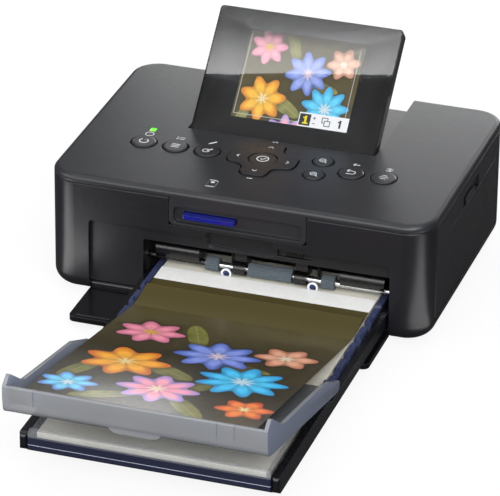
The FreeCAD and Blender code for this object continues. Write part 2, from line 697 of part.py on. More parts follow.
def lower_case():
    body = new_body("CaseShell")
    outer = body_sketch(body, "XY_Plane", case_low)
    rounded_rectangle(outer, (-side, side), (ground, d.body_depth), d.corner_radius)
    shell = body_pad(body, outer, d.split_height - case_low)
    shell = body_fillet(body, shell, d.bottom_round, at_height(case_low))
    shell = body_fillet(body, shell, d.split_groove, at_height(d.split_height), "PartDesign::Chamfer")
    inner = body_sketch(body, "XY_Plane", d.split_height)
    rounded_rectangle(inner, (d.case_wall - side, side - d.case_wall),
                      (d.front_wall, d.body_depth - d.case_wall), d.corner_radius - d.case_wall)
    shell = body_pocket(body, inner, d.split_height - floor_z)
    shell = body_fillet(body, shell, d.bottom_round - d.case_wall, at_height(floor_z))

    front = -d.overrun
    recess = (d.recess_x - recess_half, d.recess_x + recess_half)
    bay = (d.path_x - tray_half - d.bay_gap, d.path_x + tray_half + d.bay_gap)
    tools = [
        rounded_block("y", recess, (-d.overrun, d.recess_top), (front, d.recess_depth), d.recess_corner),
        box(recess, (front, d.barrel_room), (-d.overrun, cover_axis_z + d.cover_barrel + d.fit_gap)),
        rounded_block("y", bay, (d.bay_sill, d.bay_top), (front, d.front_wall + d.overrun), d.bay_corner),
        box((d.panel_x - d.tongue_width / 2 - d.fit_gap, d.panel_x + d.tongue_width / 2 + d.fit_gap),
            (front, d.front_wall + d.overrun), (d.tongue_low - d.fit_gap, d.split_height + d.overrun)),
        rounded_block("y", (d.finger_x - d.finger_width / 2, d.finger_x + d.finger_width / 2),
                      (d.finger_low, d.finger_high), (front, d.finger_depth), d.recess_corner),
        rounded_block("y", (d.finger_x - d.finger_width / 2 - d.finger_rim,
                            d.finger_x + d.finger_width / 2 + d.finger_rim),
                      (d.finger_low - d.finger_rim, d.finger_high + d.finger_rim),
                      (front, d.recess_depth + d.finger_rim), d.recess_corner + d.finger_rim),
        box((d.latch_x - d.latch_width / 2, d.latch_x + d.latch_width / 2), (front, d.latch_depth),
            (d.latch_low, d.latch_high)),
        rod("x", (d.cover_axis_y, cover_axis_z),
            (recess[0] - d.cover_stub_length, recess[1] + d.cover_stub_length),
            d.cover_stub + d.running_gap),
    ]
    # Room for the exit gear inside the front wall
    gear_x = left_plate_out - d.gear_gap
    gear_reach = d.gear_module * d.eject_teeth / 2 + d.gear_module + d.gear_room / 2
    tools.append(box((gear_x - d.gear_width - d.gear_room, gear_x + d.gear_room),
                     (d.eject_y - gear_reach, d.front_wall + d.overrun),
                     (eject_z - gear_reach, eject_z + gear_reach)))
    # Side opening of the ink compartment, with blind bores for the door's stubs
    gap = d.fit_gap
    door = ((d.door_front - gap, d.door_low - gap, 0), (d.door_rear + gap, d.door_low - gap, 0),
            (d.door_rear + gap, d.door_high + gap, d.door_small_corner),
            (d.door_front - gap, d.door_high + gap, d.door_corner))
    wall = (side - d.case_wall - d.overrun, side + d.overrun)
    barrel = d.door_thick / 2
    tools.append(outline_block("x", door, wall))
    tools.append(rod("y", (side - barrel, d.door_low + barrel),
                     (d.door_front - gap - d.cover_stub_length, d.door_rear + gap + d.cover_stub_length),
                     d.door_stub + d.running_gap))
    tools.append(rounded_block("x", (d.grip_y - d.grip_width / 2, d.grip_y + d.grip_width / 2),
                               (d.door_high - d.door_small_corner, d.grip_high),
                               (side - d.grip_depth, side + d.overrun), d.door_small_corner))
    # Rear wall: paper slot, two sockets and the vents
    rear = (d.body_depth - d.case_wall - d.overrun, d.body_depth + d.overrun)
    slot_half = paper_half + d.slot_margin
    tools.append(rounded_block("y", (d.path_x - slot_half, d.path_x + slot_half), (d.slot_low, d.slot_high),
                               rear, d.bay_corner))
    tools.append(rod("y", (inlet_x, d.port_z), rear, d.inlet_radius + gap))
    tools.append(box((usb_x - d.usb_width / 2 - gap, usb_x + d.usb_width / 2 + gap), rear,
                     (d.port_z - d.usb_height / 2 - gap, d.port_z + d.usb_height / 2 + gap)))
    notch = well_half + d.well_wall + gap
    tools.append(box((d.panel_x - notch, d.panel_x + notch), rear,
                     (d.well_floor - d.well_wall - gap, d.split_height + d.overrun)))
    for index in range(int(d.vent_count)):
        left = d.vent_x + d.vent_pitch * index
        tools.append(box((left, left + d.vent_width), rear, (d.vent_low, d.vent_high)))
    for x in screw_places():
        for y in foot_rows():
            tools.append(rod("z", (x, y), (case_low - d.overrun, case_low + d.screw_depth),
                             d.screw_radius + gap))
    # Blocks that carry the stubs of the ink door
    block_low = d.door_low - gap
    blocks = [box((side - d.case_wall - d.case_wall, side - d.case_wall),
                  (y, y + d.cover_stub_length + d.case_wall), (block_low, block_low + d.door_thick * 2))
              for y in (d.door_front - gap - d.cover_stub_length - d.case_wall, d.door_rear + gap)]
    solid = fuse(body, *blocks)
    finish("lower_case", cut(solid, *tools))


def screw_places():
    inset = side - d.foot_inset - d.screw_inset
    return (-inset, inset)


def foot_rows():
    return (d.foot_inset, d.body_depth - d.foot_inset)


def feet():
    places = [(x, y) for x in (d.foot_inset - side, side - d.foot_inset) for y in foot_rows()]
    finish("rubber_feet", group(*[rod("z", place, (ground, case_low), d.foot_radius) for place in places]))


def case_screws():
    heads = []
    for x in screw_places():
        for y in foot_rows():
            top = case_low + d.screw_depth
            head = rod("z", (x, y), (case_low, top), d.screw_radius)
            slot = box((x - d.screw_radius, x + d.screw_radius),
                       (y - d.screw_depth / 4, y + d.screw_depth / 4), (case_low, case_low + d.screw_depth / 2))
            heads.append(cut(head, slot))
    finish("case_screws", group(*heads))


# Top cover: a thin plate with a rim, the tongue, the screen's well and the key holes

def key_table():
    """Name, place and radius of each round key."""
    row = d.key_row
    return (("power_button", d.power_x, row, d.key_radius),
            ("menu_button", d.power_x + d.key_pitch, row, d.key_radius),
            ("edit_button", d.power_x + d.key_pitch * 2, row, d.key_radius),
            ("zoom_in_button", d.zoom_x, row + d.zoom_rise, d.zoom_radius),
            ("zoom_out_button", d.zoom_x, row - d.zoom_rise, d.zoom_radius),
            ("back_button", d.back_x, row, d.key_radius),
            ("print_button", d.back_x + d.key_pitch, row, d.key_radius))


def pad_corners(grow):
    """Outline of the direction pad: a cross with hollow inner corners, grown by a gap."""
    arm, tip, hollow = d.pad_arm + grow, d.pad_tip + grow, d.pad_hollow - grow
    reach, rise = d.pad_reach + grow, d.pad_rise + grow
    quarter = ((reach, -arm, tip), (reach, arm, tip), (arm, arm, hollow), (arm, rise, tip),
               (-arm, rise, tip), (-arm, arm, hollow), (-reach, arm, tip), (-reach, -arm, tip),
               (-arm, -arm, hollow), (-arm, -rise, tip), (arm, -rise, tip), (arm, -arm, hollow))
    return [(d.pad_x + a, d.key_row + b, r) for a, b, r in quarter]


def boss_places():
    left = d.power_x - d.key_board_margin + d.boss_inset
    right = d.back_x + d.key_pitch + d.key_board_margin - d.boss_inset
    near = d.key_board_front + d.boss_inset
    far = d.key_board_front + d.key_board_depth - d.boss_inset
    return [(x, y) for x in (left, right) for y in (near, far)]


def top_cover():
    body = new_body("CoverShell")
    outer = body_sketch(body, "XY_Plane", d.split_height)
    rounded_rectangle(outer, (-side, side), (ground, d.body_depth), d.corner_radius)
    shell = body_pad(body, outer, d.body_height - d.split_height)
    shell = body_fillet(body, shell, d.top_round, at_height(d.body_height))
    shell = body_fillet(body, shell, d.split_groove, at_height(d.split_height), "PartDesign::Chamfer")
    hollow = rounded_block("z", (d.top_skirt - side, side - d.top_skirt),
                           (d.front_wall, d.body_depth - d.top_skirt),
                           (d.split_height - d.overrun, deck), d.corner_radius - d.top_skirt)
    plate = cut(body, hollow)

    tongue_x = (d.panel_x - d.tongue_width / 2, d.panel_x + d.tongue_width / 2)
    tongue = rounded_block("y", tongue_x, (d.tongue_low, d.split_height + d.split_groove * 2),
                           (ground, d.tongue_thick), d.tongue_corner)
    seam = box(tongue_x, (d.split_groove, d.tongue_thick), (d.split_height - d.overrun, deck))
    well = box((d.panel_x - well_half - d.well_wall, d.panel_x + well_half + d.well_wall),
               (d.screen_hinge_y - d.screen_barrel - d.fit_gap - d.well_wall,
                d.body_depth),
               (d.well_floor - d.well_wall, d.body_height - d.top_round))
    bosses = [rod("z", place, (d.key_board_top, deck), d.boss_radius) for place in boss_places()]
    solid = fuse(plate, tongue, seam, well, *bosses)

    gap = d.fit_gap
    above = (d.split_height - d.top_skirt, d.body_height + d.overrun)
    tools = [
        box((d.panel_x - well_half, d.panel_x + well_half),
            (d.screen_hinge_y - d.screen_barrel - gap, d.body_depth + d.overrun),
            (d.well_floor, d.body_height + d.overrun)),
        rod("x", (d.screen_hinge_y, d.screen_hinge_z),
            (d.panel_x - well_half - d.well_wall - d.overrun, d.panel_x + well_half + d.well_wall + d.overrun),
            d.screen_pin + d.running_gap),
        rounded_block("y", (d.panel_x - d.scoop_width / 2, d.panel_x + d.scoop_width / 2),
                      (d.scoop_low, d.scoop_high), (-d.overrun, d.scoop_depth), d.scoop_corner),
        box((d.card_x - d.card_width / 2 - gap, d.card_x + d.card_width / 2 + gap),
            (-d.overrun, d.tongue_thick + d.overrun), (d.card_low - gap, d.card_low + d.card_thick + gap)),
        outline_block("z", pad_corners(d.key_gap), above),
        box((d.lamp_x - d.lamp_width / 2 - gap / 2, d.lamp_x + d.lamp_width / 2 + gap / 2),
            (d.lamp_y - d.lamp_depth / 2 - gap / 2, d.lamp_y + d.lamp_depth / 2 + gap / 2), above),
    ]
    for _, x, y, radius in key_table():
        tools.append(rod("z", (x, y), above, radius + d.key_gap))
    finish("top_cover", cut(solid, *tools))


# Keys

def keys():
    face = d.body_height + d.key_stand
    collar = (deck - d.flange_thick, deck)
    for label, x, y, radius in key_table():
        finish(label, key_cap(x, y, radius, collar, face))
    finish("centre_button", key_cap(d.pad_x, d.key_row, d.centre_radius, collar, face))

    pad = outline_block("z", pad_corners(ground), (collar[0], face))
    rim = outline_block("z", pad_corners(d.key_flange), collar)
    stems = [rod("z", (d.pad_x + x, d.key_row + y), (collar[0] - d.stem_length, collar[0]), d.stem_radius)
             for x, y in arm_places()]
    hole = rod("z", (d.pad_x, d.key_row), (collar[0] - d.stem_length, face + d.overrun),
               d.centre_radius + d.fit_gap)
    room = rod("z", (d.pad_x, d.key_row), (collar[0] - d.stem_length, collar[1] + d.key_travel + d.fit_gap),
               d.centre_radius + d.key_flange + d.fit_gap)
    finish("direction_pad", cut(fuse(pad, rim, *stems), hole, room))

    lamp = box((d.lamp_x - d.lamp_width / 2, d.lamp_x + d.lamp_width / 2),
               (d.lamp_y - d.lamp_depth / 2, d.lamp_y + d.lamp_depth / 2), (d.key_board_top, d.body_height))
    finish("power_lamp", lamp)


def arm_places():
    along, across = (d.pad_reach + d.centre_radius) / 2 + d.stem_radius, (d.pad_rise + d.centre_radius) / 2
    across = across + d.stem_radius
    return ((-along, 0), (along, 0), (0, -across), (0, across))


def key_cap(x, y, radius, collar, face):
    """A key turned from one profile: stem, collar and a face with a bevelled edge."""
    stem_low = collar[0] - d.stem_length
    face_edge = doc.addObject("Part::Cone", "FaceEdge")
    bind(face_edge, Radius1=radius, Radius2=radius - d.key_dome, Height=d.key_dome / 2,
         Placement__Base__x=x, Placement__Base__y=y, Placement__Base__z=face - d.key_dome / 2)
    return fuse(rod("z", (x, y), (stem_low, collar[0]), d.stem_radius),
                rod("z", (x, y), collar, radius + d.key_flange),
                rod("z", (x, y), (collar[1], face - d.key_dome / 2), radius), face_edge)


def key_board():
    low = d.key_board_top - d.board_thick
    left = d.power_x - d.key_board_margin
    right = d.back_x + d.key_pitch + d.key_board_margin
    rear = d.key_board_front + d.key_board_depth
    board = box((left, right), (d.key_board_front, rear), (low, d.key_board_top))
    places = [(x, y) for _, x, y, _ in key_table()] + [(d.pad_x, d.key_row)]
    places += [(d.pad_x + x, d.key_row + y) for x, y in arm_places()]
    switches = [rod("z", place, (d.key_board_top, d.key_board_top + d.switch_height), d.switch_radius)
                for place in places]
    finish("key_board", fuse(board, *switches))


def card():
    reader_top = d.key_board_top - d.board_thick
    x = (d.card_x - d.card_width / 2, d.card_x + d.card_width / 2)
    z = (d.card_low, d.card_low + d.card_thick)
    y0 = d.tongue_thick + d.fit_gap
    outer = box((x[0] - d.fit_gap - d.reader_wall, x[1] + d.fit_gap + d.reader_wall),
                (y0, y0 + d.reader_length), (d.card_low - d.fit_gap - d.reader_wall, reader_top))
    slot = box((x[0] - d.fit_gap, x[1] + d.fit_gap), (y0 - d.overrun, y0 + d.reader_length - d.reader_wall),
               (z[0] - d.fit_gap, z[1] + d.fit_gap))
    finish("card_reader", cut(outer, slot))

    front, rear = -d.card_out, d.card_length - d.card_out
    edge = d.card_thick / 3
    corners = ((x[0], front, edge), (x[1], front, edge), (x[1], rear - d.card_bevel, edge / 2),
               (x[1] - d.card_bevel, rear, edge / 2), (x[0], rear, edge))
    finish("memory_card", outline_block("z", corners, z))


# Tilting screen, drawn flat about its hinge and then set up

def screen():
    half = d.screen_width / 2
    top = d.screen_barrel
    low = d.screen_barrel - d.screen_thick
    front, rear = -d.screen_barrel, d.screen_length - d.screen_barrel
    profile = ((front, low + d.screen_thick / 2, d.screen_thick / 4), (front, top, d.screen_barrel),
               (rear, top, d.screen_corner / 2), (rear, low, d.screen_corner),
               (front + d.screen_thick / 2, low, d.screen_corner))
    shell = outline_block("x", profile, (-half, half))
    edge_cut = rounded_block("z", (-half, half), (front - d.screen_length, rear),
                             (low - d.overrun, top + d.overrun), d.screen_corner)
    shell = cut(shell, cut(box((-half - d.overrun, half + d.overrun), (front, rear + d.overrun),
                               (low - d.overrun, top + d.overrun)), edge_cut))
    stub_end = half + d.screen_side_gap + d.well_wall
    stubs = rod("x", (ground, ground), (-stub_end, stub_end), d.screen_pin)
    glass_y = (front + d.screen_barrel, rear - d.glass_inset)
    glass_x = (d.glass_inset - half, half - d.glass_inset)
    glass_z = (top - d.glass_thick, top)
    seat = rounded_block("z", glass_x, glass_y, (glass_z[0], top + d.overrun), d.screen_corner)
    picture_x = (d.display_x - d.display_width / 2, d.display_x + d.display_width / 2)
    picture_y = (front + d.display_low, front + d.display_low + d.display_height)
    picture_z = (glass_z[0] - d.display_thick, glass_z[0])
    pit = box(picture_x, picture_y, (picture_z[0], glass_z[0] + d.fit_gap))
    tilt_up("screen_shell", cut(fuse(shell, stubs), seat, pit))
    tilt_up("screen_glass", rounded_block("z", glass_x, glass_y, glass_z, d.screen_corner))
    tilt_up("screen_display", box(picture_x, picture_y, picture_z))


def tilt_up(label, flat):
    """Turn a flat piece of the screen about the hinge and put it in place."""
    holder = doc.addObject("Part::Compound", label)
    holder.Links = [flat]
    holder.Placement = Placement(Vector(), Rotation(Vector(1, 0, 0), float(d.screen_tilt)))
    holder.Label = label
    bind(holder, Placement__Rotation__Angle=d.screen_tilt, Placement__Base__x=d.panel_x,
         Placement__Base__y=d.screen_hinge_y + shift_y, Placement__Base__z=d.screen_hinge_z)
    nodes.append(holder)


# Ink compartment door

def ink_door():
    barrel = d.door_thick / 2
    axis_z = d.door_low + barrel
    x = (side - d.door_thick, side)
    face = ((d.door_front, axis_z, 0), (d.door_rear, axis_z, 0),
            (d.door_rear, d.door_high, d.door_small_corner), (d.door_front, d.door_high, d.door_corner))
    edge = rod("y", (side - barrel, axis_z), (d.door_front, d.door_rear), barrel)
    stubs = rod("y", (side - barrel, axis_z),
                (d.door_front - d.fit_gap - d.cover_stub_length + d.running_gap,
                 d.door_rear + d.fit_gap + d.cover_stub_length - d.running_gap), d.door_stub)
    tab_x = (side - d.grip_depth + d.fit_gap, side - d.fit_gap / 2)
    tab = rounded_block("x", (d.grip_y - d.tab_width / 2, d.grip_y + d.tab_width / 2),
                        (d.door_high - d.door_thick, d.tab_high), tab_x, d.door_thick / 3)
    finish("ink_door", fuse(outline_block("x", face, x), edge, stubs, tab))


# Front cover, folded down flat

def front_cover():
    x = (d.recess_x - recess_half + d.cover_gap, d.recess_x + recess_half - d.cover_gap)
    y = (d.cover_axis_y - d.cover_length, d.cover_axis_y + d.cover_drop)
    z = (d.cover_low, d.cover_low + d.cover_thick)
    panel = outline_block("z", ((x[0], y[0], d.cover_corner), (x[1], y[0], d.cover_corner),
                                (x[1], y[1], 0), (x[0], y[1], 0)), z)
    axis = (d.cover_axis_y, cover_axis_z)
    barrel = rod("x", axis, x, d.cover_barrel)
    stub_out = d.cover_gap + d.cover_stub_length - d.running_gap
    stubs = rod("x", axis, (x[0] - stub_out, x[1] + stub_out), d.cover_stub)
    rib_x = (x[0] + d.cover_corner, x[1] - d.cover_corner)
    rib = box(rib_x, (y[0] + d.cover_thick, y[0] + d.cover_thick * 3 / 2), (z[1], z[1] + d.cover_drop / 2))
    finish("front_cover", fuse(panel, barrel, stubs, rib))


def cover_latch():
    """Sprung catch in the slot over the opening."""
    x = (d.latch_x - d.latch_width / 4, d.latch_x + d.latch_width / 4)
    z = (d.latch_low + d.fit_gap, d.latch_high - d.fit_gap)
    profile = ((d.latch_depth, z[0], 0), (d.latch_depth, z[1], 0),
               (d.recess_depth + d.fit_gap, z[1], 0), (d.recess_depth + d.fit_gap, z[0] + d.fit_gap, 0),
               (d.latch_depth - d.fit_gap, z[0], 0))
    finish("cover_latch", outline_block("x", profile, x))


# Paper cassette

def tray_sides():
    return d.path_x - tray_half, d.path_x + tray_half


def cassette_tray():
    x0, x1 = tray_sides()
    front, rear = -d.tray_front, d.tray_inside
    step, slope = -d.rail_step, d.rail_slope
    profile = ((front, d.tray_low, d.rail_round), (rear, d.tray_low, d.tray_floor / 2),
               (rear, d.rail_mid, d.tray_floor), (step + slope, d.rail_mid, 0),
               (step, d.rail_high, 0), (front, d.rail_high, d.rail_round))
    rails = []
    for span in ((x0, x0 + d.rail_width), (x1 - d.rail_width, x1)):
        height = (d.tray_low - d.overrun, d.rail_high + d.overrun)
        nose = outline_block("z", ((span[0], front, d.rail_nose), (span[1], front, d.rail_nose),
                                   (span[1], rear, 0), (span[0], rear, 0)), height)
        around = box((span[0] - d.overrun, span[1] + d.overrun), (front - d.overrun, rear), height)
        rails.append(cut(outline_block("x", profile, span), cut(around, nose)))
    inside = (x0 + d.rail_width, x1 - d.rail_width)
    wall_front = front + d.inner_skirt + d.fit_gap
    floor = box(inside, (wall_front, rear), (d.tray_low, d.tray_low + d.tray_floor))
    front_wall = box(inside, (wall_front, wall_front + d.tray_wall), (d.tray_low, d.tray_wall_high))
    rear_wall = box(inside, (rear - d.tray_wall, rear), (d.tray_low, d.rail_mid))
    plate_half = (d.paper_width * d.plate_share) / 2
    plate_y = (rear - d.tray_wall - d.plate_length - d.fit_gap, rear - d.tray_wall - d.fit_gap)
    opening = box((d.path_x - plate_half - d.fit_gap, d.path_x + plate_half + d.fit_gap),
                  (plate_y[0] - d.fit_gap, plate_y[1]), (d.tray_low - d.overrun, d.stack_low))
    pin_depth = d.rail_width / 2 + d.running_gap
    pin_holes = [rod("x", (-d.inner_axis_y, d.inner_axis_z), span, d.inner_stub + d.running_gap)
                 for span in ((inside[0] - pin_depth, inside[0]), (inside[1], inside[1] + pin_depth))]
    finish("cassette_tray", cut(fuse(*rails, floor, front_wall, rear_wall), opening, *pin_holes))
    finish("pressure_plate", box((d.path_x - plate_half, d.path_x + plate_half), plate_y,
                                 (d.tray_low, d.stack_low)))


def cassette_sides():
    """Dark translucent inner sides with the hinge lugs of the outer lid."""
    x0, x1 = tray_sides()
    base = d.tray_low + d.tray_floor
    front = -(d.lid_axis_y + d.lug_length)
    strips = []
    for outer, way in ((x0 + d.rail_width, 1), (x1 - d.rail_width, -1)):
        x = sorted((outer, outer + d.side_width * way), key=float)
        strip = box(x, (front, d.side_end), (base, d.side_high))
        lug_axis = (-d.lid_axis_y, d.lid_axis_z)
        lug = rod("x", lug_axis, x, d.lug_high - d.lid_axis_z)
        starts = [-d.notch_first - d.notch_pitch * i for i in range(int(d.notch_count))]
        notches = [box(x, (y - d.notch_length, y), (d.side_high - d.side_width, d.side_high + d.overrun))
                   for y in starts]
        hooks = [box((x[0] + d.side_width / 4, x[1] - d.side_width / 4), (y, y + d.hook_length),
                     (d.side_high - d.side_width, d.hook_high)) for y in starts]
        bore = rod("x", lug_axis, (x[0] - d.overrun, x[1] + d.overrun), d.lid_stub + d.running_gap)
        strips.append(cut(fuse(strip, lug, *hooks), *notches, bore))
    finish("cassette_sides", group(*strips))


def paper_stack():
    front = -d.tray_front + d.inner_skirt + d.fit_gap + d.tray_wall + d.fit_gap
    finish("paper_stack", box((d.path_x - paper_half, d.path_x + paper_half), (front, front + d.paper_length),
                              (d.stack_low, d.stack_high)))


def inner_lid():
    x0, x1 = tray_sides()
    inset = d.rail_width + d.inner_side_gap
    x = (x0 + inset, x1 - inset)
    low = d.stack_high + d.sheet_gap
    front = -d.tray_front
    bar_y = front + d.inner_bar
    plate = box(x, (bar_y, -d.inner_hinge), (low, low + d.inner_thick))
    bar = rod("x", (bar_y, low + d.inner_thick), x, d.inner_bar)
    apron = box(x, (front, front + d.inner_skirt), (d.inner_skirt_low, low + d.inner_thick))
    ribs = [box((a, a + d.inner_rib), (bar_y, -d.inner_hinge), (low, low + d.inner_thick + d.inner_thick / 2))
            for a in (x[0], x[1] - d.inner_rib)]
    arm_y = (-d.inner_axis_y - d.inner_stub - d.inner_arm / 4, -d.inner_axis_y + d.inner_arm / 2)
    arms = [box((a, a + d.inner_arm), arm_y, (d.inner_axis_z - d.inner_stub, low + d.inner_thick))
            for a in (x[0], x[1] - d.inner_arm)]
    axis = (-d.inner_axis_y, d.inner_axis_z)
    depth = d.inner_side_gap + d.rail_width / 2
    stubs = [rod("x", axis, span, d.inner_stub) for span in ((x[0] - depth, x[0]), (x[1], x[1] + depth))]
    cap = d.inner_skirt / 2
    caps = [rod("z", (a, front + cap), (d.inner_skirt_low, low + d.inner_thick), cap) for a in x]
    finish("inner_lid", fuse(plate, bar, apron, *caps, *ribs, *arms, *stubs))


def floor_line(y):
    """Height of the outer lid's underside at a distance before the housing."""
    slope = (d.lip_foot_z - d.lid_start_z) / (d.lid_reach - d.lid_start)
    return d.lid_start_z + slope * (y - d.lid_start)


def outer_lid():
    x0, x1 = d.path_x - tray_half - d.lid_over, d.path_x + tray_half + d.lid_over
    reach, start = d.lid_reach, d.lid_start
    inner = reach - d.lip_thick
    wall = d.lid_wall
    floor = ((-start, d.lid_start_z, 0), (-reach + d.lip_lean, floor_line(reach), d.lip_round),
             (-reach, d.lip_high - d.lip_flat, 0), (-reach, d.lip_high, d.lip_thick / 3),
             (-inner, d.lip_high, d.lip_thick / 3),
             (-inner, floor_line(inner) + wall, d.lip_hollow), (-start, d.lid_start_z + wall, 0))
    sheet = outline_block("x", floor, (x0, x1))
    flank = ((-start + d.lid_barrel, d.lid_axis_z - d.lid_barrel, 0),
             (-reach + d.lip_lean, floor_line(reach), d.lip_round),
             (-reach, d.lip_high - d.lip_flat, 0), (-reach, d.lip_high, d.lip_thick),
             (-d.side_peak_y, d.side_peak, d.lip_thick),
             (-d.side_dip_y, d.side_dip_z, d.lip_hollow), (-d.side_knee_y, d.side_knee_z, d.lip_hollow),
             (-d.lid_axis_y, d.side_start_z, 0),
             (-d.lid_axis_y, d.lid_axis_z - d.lid_barrel, 0))
    flanks = [outline_block("x", flank, span) for span in ((x0, x0 + wall), (x1 - wall, x1))]
    axis = (-d.lid_axis_y, d.lid_axis_z)
    eyes = [rod("x", axis, span, d.lid_eye) for span in ((x0, x0 + wall), (x1 - wall, x1))]
    in_reach = d.rail_width + d.side_width - d.running_gap
    stubs = [rod("x", axis, (x0, x0 + in_reach), d.lid_stub), rod("x", axis, (x1 - in_reach, x1), d.lid_stub)]
    tab_z = (floor_line(reach) - d.thumb_drop, floor_line(reach) + d.lip_round)
    tab_x = (d.path_x - d.thumb_width / 2, d.path_x + d.thumb_width / 2)
    tab = outline_block("y", ((tab_x[0], tab_z[0], d.thumb_round), (tab_x[1], tab_z[0], d.thumb_round),
                              (tab_x[1], tab_z[1], 0), (tab_x[0], tab_z[1], 0)),
                        (-reach + d.lip_lean, -reach + d.lip_lean + wall))
    tab.Label = "ThumbTab"
    line_z = (d.lip_foot_z + d.lip_round, d.lip_high + d.overrun)
    lines = [box((d.path_x + a - d.lip_line / 2, d.path_x + a + d.lip_line / 2),
                 (-reach - d.overrun, -reach + d.lip_line), line_z)
             for a in (-d.lip_line_left, d.lip_line_near, d.lip_line_far)]
    finish("outer_lid", cut(fuse(sheet, *flanks, *eyes, *stubs, tab), *lines))


def printed_sheet():
    """A print lying on the stack at its back and leaning on the lip at its front."""
    z = d.stack_high + d.sheet_gap
    thick = d.print_thick
    profile = ((d.print_rear, z, 0), (d.print_rear, z + thick, 0), (-d.print_bend, z + thick, d.print_arc),
               (-d.print_front, d.print_front_z + thick, 0), (-d.print_front, d.print_front_z, 0),
               (-d.print_bend, z, d.print_arc + thick))
    finish("printed_sheet", outline_block("x", profile, (d.path_x - paper_half, d.path_x + paper_half)))


# Exit rollers and what carries them

def ribbed_roller(x, y, z, radius):
    """A roller with ribs along it, made as a body with a polar pattern."""
    body = new_body("RibbedRoller")
    core = body_sketch(body, "YZ_Plane", x[0])
    circle = core.addGeometry(Part.Circle(Vector(), Vector(0, 0, 1), float(radius - d.rib_depth)), False)
    core.addConstraint(Sketcher.Constraint("Coincident", circle, 3, -1, 1))
    fix(core, "Radius", (circle,), radius - d.rib_depth)
    body_pad(body, core, x[1] - x[0])
    rib = body_sketch(body, "YZ_Plane", x[0])
    rounded_rectangle(rib, (radius - d.rib_depth * 2, radius), (-d.rib_width / 2, d.rib_width / 2),
                      d.rib_width / 4)
    tooth = body_pad(body, rib, x[1] - x[0])
    ring_pattern(body, tooth, d.rib_count)
    bind(body, Placement__Base__y=y, Placement__Base__z=z)
    return body


def ring_pattern(body, feature, count):
    pattern = body.newObject("PartDesign::PolarPattern", "Ring")
    pattern.Originals = [feature]
    axis = next(f for f in body.Origin.OriginFeatures if f.Role == "X_Axis")
    pattern.Axis = (axis, [""])
    pattern.Angle = 360
    pattern.Occurrences = int(count)
    pattern.Refine = True
    body.Tip = pattern
    return pattern


def exit_rollers():
    axis = (d.eject_y, eject_z)
    shaft_x = (left_plate_out - d.shaft_end, right_plate_out + d.bush_length)
    finish("eject_shaft", rod("x", axis, shaft_x, d.eject_shaft_radius))
    spans = [(d.path_x + middle - width / 2, d.path_x + middle + width / 2)
             for middle, width in ((-d.small_roller_x, d.small_roller), (ground, d.wide_roller),
                                   (d.small_roller_x, d.small_roller))]
    sleeves = []
    for x in spans:
        roller = ribbed_roller(x, *axis, d.eject_radius)
        bore = rod("x", axis, (x[0] - d.overrun, x[1] + d.overrun), d.eject_shaft_radius)
        sleeves.append(cut(roller, bore))
    finish("exit_rollers", group(*sleeves))


def exit_beam():
    y1 = d.beam_y + d.beam_thick
    beam = box((left_plate_in, right_plate_in), (d.beam_y, y1), (d.beam_low, d.beam_high))
    blocks = []
    for way in (-1, 1):
        ends = sorted((d.path_x + d.guide_start * way, d.path_x + (plate_half - d.guide_end) * way), key=float)
        blocks.append(rounded_block("x", (d.guide_front, y1), (d.guide_low, d.guide_high), ends,
                                    d.bracket_round))
    room = rod("x", (d.eject_y, eject_z), (left_plate_in, right_plate_in),
               d.eject_shaft_radius + d.sheet_gap * 2)
    finish("exit_beam", cut(fuse(beam, *blocks), room))
    rings = []
    for way in (-1, 1):
        middle = d.path_x + d.ring_x * way
        place = (middle, d.ring_z)
        disc = rod("y", place, (d.ring_y, d.ring_y + d.ring_thick), d.ring_radius)
        hollow = rod("y", place, (d.ring_y - d.overrun, d.ring_y + d.ring_thick / 2),
                     d.ring_radius - d.ring_rim)
        arm_x = (middle - d.ring_arm / 2, middle + d.ring_arm / 2)
        low = d.stack_high + d.sheet_gap
        below = box((middle - d.ring_radius, middle + d.ring_radius),
                    (d.ring_y - d.overrun, d.ring_y + d.ring_thick + d.overrun),
                    (d.ring_z - d.ring_radius * 2, low))
        arm = box(arm_x, (d.ring_y + d.ring_thick / 2, y1), (low, low + d.ring_arm))
        post = box(arm_x, (d.beam_y, y1), (low, d.beam_low))
        rings.append(fuse(cut(disc, hollow, below), arm, post))
    finish("guide_rings", group(*rings))
    brackets = []
    for way in (-1, 1):
        middle = d.path_x + d.bracket_x * way
        x = (middle - d.bracket_width / 2, middle + d.bracket_width / 2)
        arm = box(x, (d.eject_y, d.beam_y), (eject_z, d.beam_high))
        eye = rod("x", (d.eject_y, eject_z), x, d.bracket_round)
        low = box(x, (d.guide_front - d.overrun, d.beam_y),
                  (d.path_z - d.bracket_round, d.path_z + d.sheet_gap * 2))
        bore = rod("x", (d.eject_y, eject_z), (x[0] - d.overrun, x[1] + d.overrun),
                   d.eject_shaft_radius + d.running_gap)
        brackets.append(cut(fuse(arm, eye), bore, low))
    finish("roller_brackets", group(*brackets))


# Paper transport inside the housing

def shaft_with_rollers(label, y, z, spans, radius, shaft):
    axis = (y, z)
    x = (left_plate_out - d.gear_gap / 2, right_plate_out + d.bush_length)
    finish(f"{label}_shaft", rod("x", axis, x, shaft))
    sleeves = []
    for span in spans:
        outer = rod("x", axis, span, radius)
        bore = rod("x", axis, (span[0] - d.overrun, span[1] + d.overrun), shaft)
        sleeves.append(cut(outer, bore))
    finish(f"{label}_roller", group(*sleeves) if len(sleeves) > 1 else sleeves[0])


